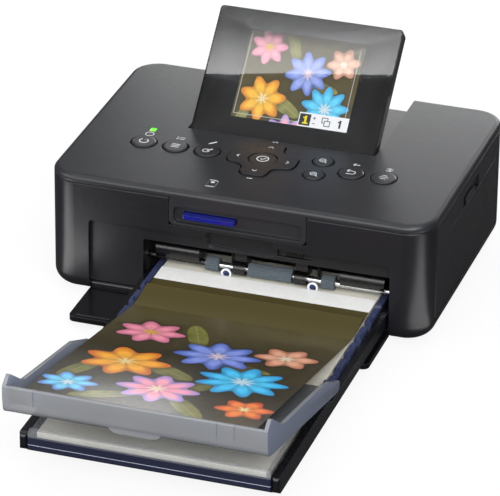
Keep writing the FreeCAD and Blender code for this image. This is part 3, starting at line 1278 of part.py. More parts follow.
def transport():
    pair = [(d.path_x + d.pickup_x * way - d.pickup_width / 2, d.path_x + d.pickup_x * way + d.pickup_width / 2)
            for way in (-1, 1)]
    shaft_with_rollers("pickup", d.pickup_y, pickup_z, pair, d.pickup_radius, d.eject_shaft_radius)
    full = (d.path_x - roller_half, d.path_x + roller_half)
    axis = (d.platen_y, platen_z)
    long = (left_plate_out - d.shaft_end, right_plate_out + d.bush_length)
    finish("platen_roller", fuse(rod("x", axis, full, d.platen_radius), rod("x", axis, long, d.shaft_radius)))
    x = (left_plate_out - d.bush_length, right_plate_out + d.bush_length)
    finish("capstan_roller", fuse(rod("x", (d.capstan_y, d.path_z - d.capstan_radius), full, d.capstan_radius),
                                  rod("x", (d.capstan_y, d.path_z - d.capstan_radius), x, d.shaft_radius)))
    pinch_z = d.path_z + d.sheet_gap * 2 + d.capstan_radius
    finish("pinch_roller", fuse(rod("x", (d.capstan_y, pinch_z), full, d.capstan_radius),
                                rod("x", (d.capstan_y, pinch_z), x, d.shaft_radius)))


def shaft_seats():
    """Place and radius of each shaft that runs in the side plates."""
    pinch_z = d.path_z + d.sheet_gap * 2 + d.capstan_radius
    return ((d.eject_y, eject_z, d.eject_shaft_radius), (d.pickup_y, pickup_z, d.eject_shaft_radius),
            (d.platen_y, platen_z, d.shaft_radius), (d.capstan_y, d.path_z - d.capstan_radius, d.shaft_radius),
            (d.capstan_y, pinch_z, d.shaft_radius))


def bushes():
    rings = []
    for y, z, radius in shaft_seats():
        for x in ((left_plate_out, left_plate_in), (right_plate_in, right_plate_out)):
            outer = rod("x", (y, z), x, radius + d.bush_length / 2)
            bore = rod("x", (y, z), (x[0] - d.overrun, x[1] + d.overrun), radius + d.running_gap)
            rings.append(cut(outer, bore))
    finish("bearing_bushes", group(*rings))


def chassis():
    y = (d.chassis_front, d.chassis_rear)
    floor_y = (y[0] + d.chassis_foot, y[1])
    floor = box((left_plate_out, right_plate_out), floor_y, (floor_z, chassis_base))
    plate = ((floor_y[0], floor_z, 0), (y[1], floor_z, 0), (y[1], d.chassis_high, d.bay_corner),
             (y[0], d.chassis_high, d.bay_corner), (y[0], floor_z + d.chassis_foot * 3 / 2, 0))
    left = outline_block("x", plate, (left_plate_out, left_plate_in))
    right = outline_block("x", plate, (right_plate_in, right_plate_out))
    through = (right_plate_in - d.overrun, right_plate_out + d.overrun)
    tools = []
    for place_y in (d.supply_y, d.takeup_y):
        tools.append(rod("x", (place_y, d.spool_z), through, d.chamber_radius + d.fit_gap))
    tools.append(box(through, (d.supply_y, d.takeup_y),
                     (d.spool_z - d.ink_bar_high - d.fit_gap, d.spool_z + d.ink_bar_high + d.fit_gap)))
    for place_y, z, radius in shaft_seats():
        for x in ((left_plate_out - d.overrun, left_plate_in + d.overrun), through):
            tools.append(rod("x", (place_y, z), x, radius + d.bush_length / 2))
    pin_x = (left_plate_out - d.gear_gap - d.gear_width - d.gear_gap, left_plate_in)
    pins = [rod("x", place, pin_x, d.pin_radius) for place in idler_places()]
    runner = tray_half - d.runner_inset
    runners = [box((d.path_x + runner * way - d.runner_width / 2, d.path_x + runner * way + d.runner_width / 2),
                   (floor_y[0], d.tray_inside + d.runner_width), (floor_z, d.tray_low - d.fit_gap))
               for way in (-1, 1)]
    finish("chassis_frame", cut(fuse(floor, left, right, *pins, *runners), *tools))


# Gear train on the outside of the left side plate

def pitch_radius(teeth):
    return d.gear_module * teeth / 2


def idler_places():
    """The first idler meshes with the exit gear, the second with the first and with the platen gear."""
    first_reach = float(pitch_radius(d.eject_teeth) + pitch_radius(d.front_idler_teeth))
    angle = math.radians(float(d.first_idler_angle))
    first = (float(d.eject_y) + first_reach * math.cos(angle), float(eject_z) + first_reach * math.sin(angle))
    platen = (float(d.platen_y), float(platen_z))
    to_second = float(pitch_radius(d.front_idler_teeth) + pitch_radius(d.rear_idler_teeth))
    to_platen = float(pitch_radius(d.rear_idler_teeth) + pitch_radius(d.platen_teeth))
    across, up = platen[0] - first[0], platen[1] - first[1]
    span = math.hypot(across, up)
    along = (span ** 2 + to_second ** 2 - to_platen ** 2) / (2 * span)
    off = math.sqrt(to_second ** 2 - along ** 2)
    second = (first[0] + (across * along - up * off) / span, first[1] + (up * along + across * off) / span)
    return first, second


def pinion_place():
    second = idler_places()[1]
    reach = float(pitch_radius(d.rear_idler_teeth) + pitch_radius(d.pinion_teeth))
    angle = math.radians(float(d.pinion_angle))
    return second[0] + reach * math.cos(angle), second[1] + reach * math.sin(angle)


def meshed_turn(place, teeth, turn, next_place, next_teeth):
    """Turn of the next gear, in degrees, that puts its gaps on this gear's teeth."""
    direction = math.degrees(math.atan2(next_place[1] - place[1], next_place[0] - place[0]))
    share = (direction - turn) * teeth / 360
    return direction + 180 - (360 / next_teeth) * (0.5 - share)


tooth_root_share = 1.25
tooth_tip_share = 0.90
root_width_share = 0.52
tip_width_share = 0.22


def gear(teeth, place, turn, bore):
    """A spur gear: a disc with a ring of trapezoid teeth."""
    count = int(teeth)
    module = float(d.gear_module)
    pitch = module * count / 2
    root, tip = pitch - tooth_root_share * module, pitch + tooth_tip_share * module
    tooth_pitch = math.pi * module
    body = new_body("GearBody")
    x0 = left_plate_out - d.gear_gap - d.gear_width
    disc = body_sketch(body, "YZ_Plane", x0)
    disc.addGeometry(Part.Circle(Vector(), Vector(0, 0, 1), root), False)
    disc.addGeometry(Part.Circle(Vector(), Vector(0, 0, 1), float(bore)), False)
    body_pad(body, disc, d.gear_width)
    tooth = body_sketch(body, "YZ_Plane", x0)
    inner = root - root_width_share * module / 2
    wide, narrow = root_width_share * tooth_pitch / 2, tip_width_share * tooth_pitch / 2
    corners = ((inner, -wide), (tip, -narrow), (tip, narrow), (inner, wide))
    for start, end in zip(corners, corners[1:] + corners[:1]):
        tooth.addGeometry(Part.LineSegment(Vector(*start, 0), Vector(*end, 0)), False)
    teeth_pad = body_pad(body, tooth, d.gear_width)
    ring_pattern(body, teeth_pad, count)
    body.Placement = Placement(Vector(0, place[0], place[1]), Rotation(Vector(1, 0, 0), turn))
    return body


def gears():
    first, second = idler_places()
    exit_place = (float(d.eject_y), float(eject_z))
    platen_place = (float(d.platen_y), float(platen_z))
    motor_place = pinion_place()
    front, rear = float(d.front_idler_teeth), float(d.rear_idler_teeth)
    first_turn = meshed_turn(exit_place, float(d.eject_teeth), 0, first, front)
    second_turn = meshed_turn(first, front, first_turn, second, rear)
    platen_turn = meshed_turn(second, rear, second_turn, platen_place, float(d.platen_teeth))
    pinion_turn = meshed_turn(second, rear, second_turn, motor_place, float(d.pinion_teeth))
    table = (("eject_gear", d.eject_teeth, exit_place, 0, d.eject_shaft_radius),
             ("idler_gear_front", d.front_idler_teeth, first, first_turn, d.pin_radius + d.running_gap),
             ("idler_gear_rear", d.rear_idler_teeth, second, second_turn, d.pin_radius + d.running_gap),
             ("platen_gear", d.platen_teeth, platen_place, platen_turn, d.shaft_radius))
    for label, teeth, place, turn, bore in table:
        finish(label, group(gear(teeth, place, turn, bore)))
    shaft_x = (left_plate_out - d.motor_gap + d.fit_gap, left_plate_out - d.gear_gap / 2)
    shaft = rod("x", motor_place, shaft_x, d.pin_radius)
    finish("motor_pinion", fuse(gear(d.pinion_teeth, motor_place, pinion_turn, d.pin_radius / 2), shaft))


def motor():
    place = pinion_place()
    plate_x = (left_plate_out - d.motor_gap, left_plate_out - d.motor_gap + d.plate_thick)
    plate = box(plate_x, (d.motor_plate_front, d.motor_plate_front + d.motor_plate_depth),
                (floor_z, d.chassis_high))
    shaft_room = rod("x", place, (plate_x[0] - d.overrun, plate_x[1] + d.overrun), d.pin_radius + d.fit_gap)
    finish("motor_bracket", cut(plate, shaft_room))
    finish("drive_motor", rod("x", place, (plate_x[0] - d.motor_length, plate_x[0]), d.motor_radius))


# Ink cassette and print head

def ink_cassette():
    x = ink_ends
    inner_x = (x[0] + d.ink_bar, x[1] - d.ink_bar)
    shells = []
    for y in (d.supply_y, d.takeup_y):
        outer = rod("x", (y, d.spool_z), x, d.chamber_radius)
        inner = rod("x", (y, d.spool_z), inner_x, d.chamber_radius - d.chamber_wall)
        shells.append(cut(outer, inner))
    bar_z = (d.spool_z - d.ink_bar_high, d.spool_z + d.ink_bar_high)
    bars = [box(span, (d.supply_y, d.takeup_y), bar_z) for span in ((x[0], inner_x[0]), (inner_x[1], x[1]))]
    whole = fuse(*shells, *bars)
    slot_z = (d.spool_z - d.chamber_radius - d.overrun, d.spool_z)
    slots = [box(inner_x, span, slot_z)
             for span in ((d.supply_y + d.spool_core, d.platen_y), (d.platen_y, d.takeup_y - d.spool_core))]
    bores = [rod("x", (y, d.spool_z), (inner_x[0] - d.spool_journal_length - d.running_gap,
                                       inner_x[1] + d.spool_journal_length + d.running_gap),
                 d.spool_journal + d.running_gap) for y in (d.supply_y, d.takeup_y)]
    finish("ink_cassette", cut(whole, *slots, *bores))
    for label, y, roll in (("supply_spool", d.supply_y, d.supply_roll),
                           ("takeup_spool", d.takeup_y, d.takeup_roll)):
        core_x = (inner_x[0] + d.fit_gap, inner_x[1] - d.fit_gap)
        finish(label, fuse(rod("x", (y, d.spool_z), core_x, d.spool_core),
                           rod("x", (y, d.spool_z), (d.path_x - paper_half, d.path_x + paper_half), roll),
                           rod("x", (y, d.spool_z), (inner_x[0] - d.spool_journal_length,
                                                     inner_x[1] + d.spool_journal_length),
                               d.spool_journal)))
    low = d.path_z + d.ribbon_height
    y, half, thick = d.platen_y, d.ribbon_half, d.ribbon_thick
    left, right = (y - half, low), (y + half, low)
    give = d.running_gap
    profile = (left, right, tangent_point(right, d.takeup_y, d.takeup_roll + give + thick, -1),
               tangent_point(right, d.takeup_y, d.takeup_roll + give, -1),
               (y + half - thick, low + thick), (y - half + thick, low + thick),
               tangent_point(left, d.supply_y, d.supply_roll + give, 1),
               tangent_point(left, d.supply_y, d.supply_roll + give + thick, 1))
    profile = [(a, b, 0) for a, b in profile]
    finish("ink_ribbon", outline_block("x", profile, (d.path_x - paper_half, d.path_x + paper_half)))


def tangent_point(start, roll_y, radius, way):
    """Where a ribbon from a point meets a roll, on the side that way tells."""
    across, up = float(roll_y) - float(start[0]), float(d.spool_z) - float(start[1])
    distance = math.hypot(across, up)
    reach = math.sqrt(distance ** 2 - float(radius) ** 2)
    angle = math.atan2(up, across) - way * math.asin(float(radius) / distance)
    return float(start[0]) + reach * math.cos(angle), float(start[1]) + reach * math.sin(angle)


def print_head():
    x = (d.path_x - roller_half, d.path_x + roller_half)
    y = (d.platen_y - d.head_width / 2, d.platen_y + d.head_width / 2)
    low = d.path_z + d.ribbon_height + d.ribbon_thick + d.fit_gap
    edge = d.head_width / 4
    profile = ((y[0] + edge, low, 0), (y[1] - edge, low, 0), (y[1], low + edge, 0), (y[1], d.head_high, 0),
               (y[0], d.head_high, 0), (y[0], low + edge, 0))
    finish("print_head", outline_block("x", profile, x))
    sink_y = (d.platen_y - d.sink_width / 2, d.platen_y + d.sink_width / 2)
    sink = box(x, sink_y, (d.head_high, d.sink_high))
    pitch = d.sink_width / (d.fin_count + 1)
    slot_z = (d.sink_high - d.fin_depth, d.sink_high - d.plate_thick)
    middles = [sink_y[0] + pitch * (i + 1) for i in range(int(d.fin_count))]
    slots = [box(x, (y - d.fin_slot / 2, y + d.fin_slot / 2), slot_z) for y in middles]
    finish("head_sink", cut(sink, *slots))
    beam_y = (d.platen_y - d.head_beam_depth / 2, d.platen_y + d.head_beam_depth / 2)
    finish("head_bracket", box((left_plate_in, right_plate_in), beam_y, (d.sink_high, d.head_beam_high)))


# Rear: paper guide, main board and sockets

def rear_parts():
    half = paper_half + d.slot_margin - d.fit_gap
    x = (d.path_x - half, d.path_x + half)
    y = (d.platen_y + d.platen_radius + d.overrun, d.capstan_y - d.capstan_radius - d.overrun)
    top = d.path_z - d.sheet_gap
    plate = box(x, y, (top - d.guide_plate, top))
    legs = [box((a, a + d.guide_leg), y, (chassis_base, top)) for a in (x[0], x[1] - d.guide_leg)]
    finish("paper_guide", fuse(plate, *legs))

    board_y = (d.chassis_rear, d.chassis_rear + d.board_thick)
    board = box((d.main_board_left - side, side - d.main_board_right), board_y,
                (d.main_board_low, d.main_board_high))
    finish("main_board", board)
    socket_y = (board_y[1], d.body_depth - d.case_wall / 4)
    shell = rod("y", (inlet_x, d.port_z), socket_y, d.inlet_radius)
    bore = rod("y", (inlet_x, d.port_z), (socket_y[1] - d.socket_depth, socket_y[1] + d.overrun), d.inlet_bore)
    pin = rod("y", (inlet_x, d.port_z), (socket_y[1] - d.socket_depth, socket_y[1] - d.overrun), d.inlet_pin)
    finish("power_inlet", fuse(cut(shell, bore), pin))
    half_x, half_z = d.usb_width / 2, d.usb_height / 2
    body = box((usb_x - half_x, usb_x + half_x), socket_y, (d.port_z - half_z, d.port_z + half_z))
    hollow = box((usb_x - half_x + d.usb_wall, usb_x + half_x - d.usb_wall),
                 (socket_y[1] - d.socket_depth, socket_y[1] + d.overrun),
                 (d.port_z - half_z + d.usb_wall, d.port_z + half_z - d.usb_wall))
    tongue = box((usb_x - d.usb_tongue_width / 2, usb_x + d.usb_tongue_width / 2),
                 (socket_y[1] - d.socket_depth, socket_y[1] - d.overrun),
                 (d.port_z - d.usb_tongue_height / 2, d.port_z + d.usb_tongue_height / 2))
    finish("usb_socket", fuse(cut(body, hollow), tongue))


# The whole part

lower_case()
feet()
case_screws()
top_cover()
keys()
key_board()
card()
screen()
ink_door()
front_cover()
cover_latch()
cassette_tray()
cassette_sides()
paper_stack()
inner_lid()
outer_lid()
printed_sheet()
exit_rollers()
exit_beam()
transport()
bushes()
chassis()
gears()
motor()
ink_cassette()
print_head()
rear_parts()

doc.recompute()

for thing in doc.Objects:
    if "Invalid" in thing.State or "Error" in thing.State:
        raise RuntimeError(f"{thing.Label} has failed: {thing.State}")

os.makedirs("parts", exist_ok=True)
for thing in nodes:
    shape = thing.Shape
    if shape.isNull() or not shape.isValid() or not shape.Solids:
        raise RuntimeError(f"{thing.Label} has no sound solid")
    shape.exportStep(os.path.join("parts", f"{thing.Label}.step"))
    print(f"{thing.Label:24} {len(shape.Solids)} solid, {shape.Volume / 1000:.2f} cm3")
print(f"{len(nodes)} pieces")
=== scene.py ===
# %% [markdown]
# # Compact photo printer
#
# This lesson dresses a small photo printer for a product picture. The printer itself was drawn in a
# CAD program and comes in as a fixed frame of separate pieces, each at its real size and place in
# metres. We only add what CAD doesn't hold: finishes, printed marks, a photograph lying on the tray,
# a floor, lamps and a camera.

# %% Load the printer
import math

import bpy
from mathutils import Matrix, Vector


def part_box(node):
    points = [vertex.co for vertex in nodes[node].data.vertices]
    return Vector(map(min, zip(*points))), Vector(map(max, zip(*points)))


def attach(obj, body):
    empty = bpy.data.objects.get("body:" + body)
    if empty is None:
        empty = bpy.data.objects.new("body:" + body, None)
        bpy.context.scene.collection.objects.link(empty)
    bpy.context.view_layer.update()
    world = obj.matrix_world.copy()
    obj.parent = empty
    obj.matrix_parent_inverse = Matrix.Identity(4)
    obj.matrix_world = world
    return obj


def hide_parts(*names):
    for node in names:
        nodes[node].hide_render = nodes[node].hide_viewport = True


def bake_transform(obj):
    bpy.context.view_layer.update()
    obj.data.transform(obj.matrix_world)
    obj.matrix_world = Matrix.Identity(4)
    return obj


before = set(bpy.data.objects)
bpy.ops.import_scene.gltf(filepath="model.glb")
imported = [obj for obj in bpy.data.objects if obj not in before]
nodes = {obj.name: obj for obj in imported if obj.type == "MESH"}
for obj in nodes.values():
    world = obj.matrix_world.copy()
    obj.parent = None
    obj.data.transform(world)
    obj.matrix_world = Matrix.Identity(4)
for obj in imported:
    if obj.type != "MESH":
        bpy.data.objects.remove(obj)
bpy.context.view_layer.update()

MM = 0.001
print("pieces from CAD:", len(nodes))

# %% [markdown]
# ## Camera
#
# A product photographer stands well back with a long lens, so that the edges of a small thing stay
# almost parallel. The camera is described as on a tripod: how far it is turned to the right, how high
# it looks down from, and how far away it stands from a point inside the printer.

# %% Camera
FRAME_WIDTH = 500
LENS_PIXELS = 4062.77
SENSOR = 36.0
TURN, HEIGHT, ROLL = math.radians(17.948), math.radians(27.204), math.radians(-0.628)
AIM = Vector((0.0, 61.5, 30.0)) * MM
AIM_SHIFT = Vector((-5.982, -11.046, 1829.335)) * MM


def new_object(name, data):
    """A new object of the scene that shows this data."""
    thing = bpy.data.objects.new(name, data)
    bpy.context.scene.collection.objects.link(thing)
    return thing


back = Vector((math.sin(TURN) * math.cos(HEIGHT), -math.cos(TURN) * math.cos(HEIGHT), math.sin(HEIGHT)))
right = Vector((math.cos(TURN), math.sin(TURN), 0.0))
axes = Matrix((right, back.cross(right), back)).transposed() @ Matrix.Rotation(-ROLL, 3, "Z")
camera = new_object("camera", bpy.data.cameras.new("camera"))
camera.matrix_world = Matrix.Translation(AIM + axes @ AIM_SHIFT) @ axes.to_4x4()
camera.data.sensor_width = SENSOR
camera.data.lens = LENS_PIXELS * SENSOR / FRAME_WIDTH
camera.data.clip_start, camera.data.clip_end = 0.01, 100.0
bpy.context.scene.camera = camera
print("camera at", [round(v, 3) for v in camera.location], "lens", round(camera.data.lens), "mm")

# %% [markdown]
# ## Colours and shader nodes
#
# Colours are easiest to read as the six letters and digits that a colour picker shows. Shaders want
# linear light instead, so `tone` converts them. The `add` helper makes one shader node, sets its
# options and joins its inputs, which keeps each material down to a few readable lines.

# %% Helpers for materials
def tone(code):
    """A colour picker's six signs as linear light."""
    channels = [int(code[i:i + 2], 16) / 255 for i in (0, 2, 4)]
    return [c / 12.92 if c <= 0.04045 else ((c + 0.055) / 1.055) ** 2.4 for c in channels] + [1.0]


def shade(colour, factor):
    """The same colour, lighter or darker."""
    return [min(1.0, c * factor) for c in colour[:3]] + [1.0]


def add(tree, kind, inputs=None, **options):
    """Makes a shader node; an input is a value or another node's output."""
    node = tree.nodes.new("ShaderNode" + kind)
    for name, value in options.items():
        setattr(node, name, value)
    for name, value in (inputs or {}).items():
        if isinstance(value, bpy.types.NodeSocket):
            tree.links.new(value, node.inputs[name])
        else:
            node.inputs[name].default_value = value
    return node


def here(tree):
    """The place on the piece, in object coordinates."""
    return add(tree, "TexCoord").outputs["Object"]


def noise(tree, place, scale, detail=2.0, roughness=0.5):
    """Cloudy noise; the scale is about the number of clouds in one unit of place, mostly a metre."""
    return add(tree, "TexNoise", {"Vector": place, "Scale": scale, "Detail": detail,
                                  "Roughness": roughness}).outputs["Fac"]


def split(tree, vector):
    """The X, Y and Z of a vector."""
    return add(tree, "SeparateXYZ", {0: vector}).outputs


def feed(shader, socket, output):
    """Joins a node's output to one of the shader's sockets."""
    shader.id_data.links.new(output, shader.inputs[socket])


def start_material(name, **settings):
    """A new material with its shader, and the shader's plain settings."""
    material = bpy.data.materials.new(name)
    material.use_nodes = True
    shader = material.node_tree.nodes["Principled BSDF"]
    for socket, value in settings.items():
        shader.inputs[socket.replace("_", " ")].default_value = value
    return material, material.node_tree, shader


def calc(tree, operation, *values):
    """One sum, as a shader node's output."""
    return add(tree, "Math", dict(enumerate(values)), operation=operation).outputs[0]


def blend(tree, factor, first, second):
    """Mixes two colours by a factor from 0 to 1."""
    node = add(tree, "Mix", {"Factor": factor, 6: first, 7: second}, data_type="RGBA")
    return node.outputs[2]


def spread(tree, value, low, high, start=0.3, end=0.7):
    """Maps the span from start to end onto low to high; most of a noise lies from 0.3 to 0.7."""
    node = add(tree, "MapRange", {"Value": value, "From Min": start, "From Max": end, "To Min": low,
                                  "To Max": high})
    return node.outputs["Result"]


def vary(tree, value, first, second):
    """Goes from one colour to the other with a noise."""
    return blend(tree, spread(tree, value, 0.0, 1.0), first, second)


def relief(shader, height, depth, strength=1.0, **more):
    """Tilts the surface as if the pattern stood out by so many mm."""
    bump = add(shader.id_data, "Bump", {"Height": height, "Distance": depth * MM, "Strength": strength,
                                        **more})
    feed(shader, "Normal", bump.outputs["Normal"])


WHITE, BLACK = tone("ffffff"), tone("000000")
print("white is", WHITE[:3], "and mid grey is", [round(c, 3) for c in tone("808080")[:3]])

# %% [markdown]
# ## Moulded plastic
#
# Almost all of the printer is moulded plastic. A mould is etched with a fine grain that breaks up the
# highlights, and the plastic itself is never quite one colour. So the recipe has three layers of
# noise: a broad one for the colour, a finer one for the gloss, and a very fine one for the grain,
# which only tilts the surface. The pattern reads object coordinates, so it stays on the piece. A Bevel
# node tilts the surface beside each sharp edge too, so that edges catch a thin line of light.

# %% Plastic recipe
EDGE_ROUND = 0.4 * MM
COLOUR_VARIES = 0.10


def moulded(name, colour, gloss, grain=0.3, grain_depth=0.02, uneven=0.05):
    """Plastic; grain is the size of the mould's texture in mm, uneven how far its gloss varies."""
    material, tree, shader = start_material(name)
    place = here(tree)
    broad = noise(tree, place, 45.0, 3.0)
    patch = noise(tree, place, 420.0, 4.0)
    fine = noise(tree, place, 1.0 / (grain * MM))
    feed(shader, "Base Color", vary(tree, broad, shade(colour, 1 - COLOUR_VARIES),
                                    shade(colour, 1 + COLOUR_VARIES)))
    feed(shader, "Roughness", spread(tree, patch, gloss - uneven, gloss + uneven))
    edge = add(tree, "Bevel", {"Radius": EDGE_ROUND}, samples=4).outputs["Normal"]
    relief(shader, fine, grain_depth, 0.6, Normal=edge)
    return material


case_black = moulded("case_black", tone("16161a"), gloss=0.32, grain_depth=0.008, uneven=0.03)
case_grey = moulded("case_grey", tone("222327"), gloss=0.36, grain_depth=0.012, uneven=0.03)
inner_black = moulded("inner_black", tone("060607"), gloss=0.24)
key_black = moulded("key_black", tone("1f2023"), gloss=0.34, grain_depth=0.006)
cover_black = moulded("cover_black", tone("0e0e11"), gloss=0.18, grain_depth=0.004)
tray_black = moulded("tray_black", tone("0f1014"), gloss=0.26, grain_depth=0.008)
ink_grey = moulded("ink_grey", tone("6a6c70"), gloss=0.5)
gear_white = moulded("gear_white", tone("e2dfd2"), gloss=0.35, grain_depth=0.005)
card_blue = moulded("card_blue", tone("0e1670"), gloss=0.16, grain_depth=0.004)
rubber_black = moulded("rubber_black", tone("26272a"), gloss=0.75, grain=0.15, grain_depth=0.03)
roller_slate = moulded("roller_slate", tone("4d565d"), gloss=0.68, grain=0.12, grain_depth=0.02)
ceramic_brown = moulded("ceramic_brown", tone("4a3a30"), gloss=0.15, grain_depth=0.004)
print("plastics:", len(bpy.data.materials))

# %% [markdown]
# ## See-through plastic
#
# The lids of the paper cassette are clear or smoke-coloured, and thin. Bending of the light doesn't
# matter in so thin a sheet, so Alpha simply lets part of the light through, and what is left is the
# milky surface with its shine. The colour varies slowly and the gloss has fine scuffs from handling.
# The screen's glass is real glass instead, with Transmission.

# %% See-through recipe
def see_through(name, colour, gloss, scuff=0.12, **settings):
    """Clear or smoked plastic, with scuffs in its gloss."""
    material, tree, shader = start_material(name, **settings)
    place = here(tree)
    broad = noise(tree, place, 30.0)
    scuffs = noise(tree, place, 700.0, 5.0, 0.7)
    feed(shader, "Base Color", vary(tree, broad, shade(colour, 0.95), shade(colour, 1.05)))
    feed(shader, "Roughness", spread(tree, scuffs, gloss, gloss + scuff))
    relief(shader, broad, 0.05, 0.3)
    return material


navy_clear = see_through("navy_clear", tone("3b4262"), 0.08, Alpha=0.88)
screen_glass = see_through("screen_glass", tone("f2f3f6"), 0.0, scuff=0.02, Transmission_Weight=1.0,
                           IOR=1.5)
print("see-through so far:", navy_clear.name, "and", screen_glass.name)

# %% [markdown]
# The two lids differ from place to place. The inner one is clear, but its front apron is navy, with a
# thin light line on it that is a painted highlight, where the edge of the apron would catch the light.
# The outer one is grey, and bluish in its sides, which are seen through more plastic. A mask made from
# the place or from the direction of the surface blends the two colours and the two strengths.

# %% Lids with two tones
def inside_span(tree, value, low, high):
    """1 where a value lies between two limits, else 0."""
    return calc(tree, "MULTIPLY", calc(tree, "GREATER_THAN", value, low),
                calc(tree, "LESS_THAN", value, high))


def two_tones(material, mask, colour):
    """Blends a second colour into a finish by a mask."""
    tree = material.node_tree
    base = tree.nodes["Principled BSDF"].inputs["Base Color"]
    tree.links.new(blend(tree, mask, base.links[0].from_socket, colour), base)


def set_strength(material, mask, weak, strong):
    """How much a see-through plastic covers what is behind it, by a mask."""
    tree = material.node_tree
    feed(tree.nodes["Principled BSDF"], "Alpha", spread(tree, mask, weak, strong, 0.0, 1.0))


def facing(tree, axis):
    """How far the surface faces along an axis, from 0 to 1."""
    normal = add(tree, "NewGeometry").outputs["Normal"]
    return calc(tree, "ABSOLUTE", split(tree, normal)[axis])


def lid_materials():
    """The clear inner lid and the smoke-coloured outer lid."""
    inner = see_through("clear", tone("c9ccd4"), 0.08, scuff=0.08)
    tree = inner.node_tree
    parts = split(tree, here(tree))
    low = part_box("inner_lid")[0]
    front = calc(tree, "LESS_THAN", parts["Y"], low.y + APRON_THICK)
    apron = calc(tree, "MULTIPLY", front, calc(tree, "LESS_THAN", parts["Z"], low.z + APRON_HIGH))
    two_tones(inner, apron, tone("23273a"))
    # The thin light line on the apron is a painted highlight, standing in for the light its edge would
    # catch.
    height = inside_span(tree, parts["Z"], low.z + APRON_HIGHLIGHT[0] * MM, low.z + APRON_HIGHLIGHT[1] * MM)
    line = calc(tree, "MULTIPLY", front, height)
    two_tones(inner, line, tone("aeb2c2"))
    set_strength(inner, apron, 0.16, 0.97)
    outer = see_through("smoke_clear", tone("8e9093"), 0.14, scuff=0.06)
    tree = outer.node_tree
    sideways = facing(tree, "X")
    two_tones(outer, sideways, tone("8790a6"))
    set_strength(outer, sideways, 0.74, 0.82)
    return inner, outer


APRON_THICK, APRON_HIGH = 1.5 * MM, 5.4 * MM
# Lower and upper edge in mm of the painted highlight on the apron, above the lid's lowest point.
APRON_HIGHLIGHT = (1.9, 2.2)
clear, smoke_clear = lid_materials()
print("lid plastics:", clear.name, "and", smoke_clear.name)

# %% [markdown]
# ## Metals
#
# Shafts are turned, so their fine lines run round the axis, which here is always X. Sheet metal is
# rolled and plated, so its lines run along and its tone is cloudy. One recipe serves both: a noise
# stretched in one direction drives both the gloss and a faint bump.

# %% Metal recipe
def metal(name, colour, gloss, stretch):
    """Metal with fine lines; stretch squeezes the noise per axis."""
    material, tree, shader = start_material(name, Metallic=1.0)
    place = here(tree)
    squeezed = add(tree, "Mapping", {"Vector": place, "Scale": stretch}).outputs["Vector"]
    lines = noise(tree, squeezed, LINE_SCALE, 4.0)
    cloud = noise(tree, place, 60.0, 3.0)
    feed(shader, "Base Color", vary(tree, cloud, shade(colour, 0.85), shade(colour, 1.1)))
    feed(shader, "Roughness", spread(tree, lines, gloss - 0.08, gloss + 0.08))
    relief(shader, lines, 0.004, 0.5)
    return material


LINE_SCALE = 900.0
ROUND_X = (1.0, 0.05, 0.05)
ALONG_X = (0.04, 1.0, 1.0)
turned_steel = metal("turned_steel", tone("c9cacc"), 0.24, ROUND_X)
plated_sheet = metal("plated_sheet", tone("a4a6a8"), 0.38, ALONG_X)
motor_steel = metal("motor_steel", tone("b2b4b6"), 0.32, ROUND_X)
head_alloy = metal("head_alloy", tone("b8babe"), 0.34, ALONG_X)
bush_brass = metal("bush_brass", tone("b8975a"), 0.36, ROUND_X)
print("materials so far:", len(bpy.data.materials))

# %% [markdown]
# The shaft of the exit rollers is bare steel between the rollers, but a black sleeve covers it to the
# left of them. A mask made from the place across turns the metal into plastic there.

# %% Shaft with a sleeve
def steel_with_sleeve():
    """Turned steel, black plastic to the left of the exit rollers."""
    material = metal("sleeved_steel", tone("c9cacc"), 0.24, ROUND_X)
    tree = material.node_tree
    sleeve = calc(tree, "LESS_THAN", split(tree, here(tree))["X"], SLEEVE_END)
    two_tones(material, sleeve, tone("0a0a0b"))
    feed(tree.nodes["Principled BSDF"], "Metallic", calc(tree, "SUBTRACT", 1.0, sleeve))
    return material


SLEEVE_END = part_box("exit_rollers")[0].x - 0.4 * MM
sleeved_steel = steel_with_sleeve()
print("the sleeve ends at x", round(SLEEVE_END / MM, 1), "mm")

# %% [markdown]
# ## Circuit boards and paper
#
# The boards are green lacquer over copper tracks, which show as slightly raised lines. The joints of
# the Brick texture are near enough to them. Photo paper is coated and creamy. The single sheets show
# at the cut edge of the stack, so a wave of the height draws thin lines where the surface is upright.

# %% Boards and paper
def board_finish():
    """Green lacquer with tracks under it."""
    material, tree, shader = start_material("board_green", Roughness=0.35, Coat_Weight=0.4)
    tracks = add(tree, "TexBrick", {"Vector": here(tree), "Scale": 180.0, "Mortar Size": 0.035,
                                    "Color1": BLACK, "Color2": BLACK, "Mortar": WHITE})
    feed(shader, "Base Color", blend(tree, tracks.outputs["Fac"], tone("0f4a2a"), tone("2f7a46")))
    relief(shader, tracks.outputs["Fac"], 0.03)
    return material


def paper_finish():
    """Coated paper; the sheets of the stack show as lines at its cut edge."""
    material, tree, shader = start_material("photo_paper", Coat_Weight=0.15, Coat_Roughness=0.2)
    place = here(tree)
    height = split(tree, place)["Z"]
    sheets = calc(tree, "SINE", calc(tree, "MULTIPLY", height, 2 * math.pi / SHEET_STEP))
    side = calc(tree, "LESS_THAN", facing(tree, "Z"), 0.5)
    lines = calc(tree, "MULTIPLY", side, spread(tree, sheets, 0.0, 0.35, -1.0, 1.0))
    fibre = noise(tree, place, 260.0, 5.0)
    paper = vary(tree, fibre, tone("dad7ca"), tone("e2dfd3"))
    feed(shader, "Base Color", blend(tree, lines, paper, tone("9d998c")))
    feed(shader, "Roughness", spread(tree, fibre, 0.36, 0.48))
    return material


SHEET_STEP = 0.25 * MM
board_green, photo_paper = board_finish(), paper_finish()
print("made:", board_green.name, "and", photo_paper.name)

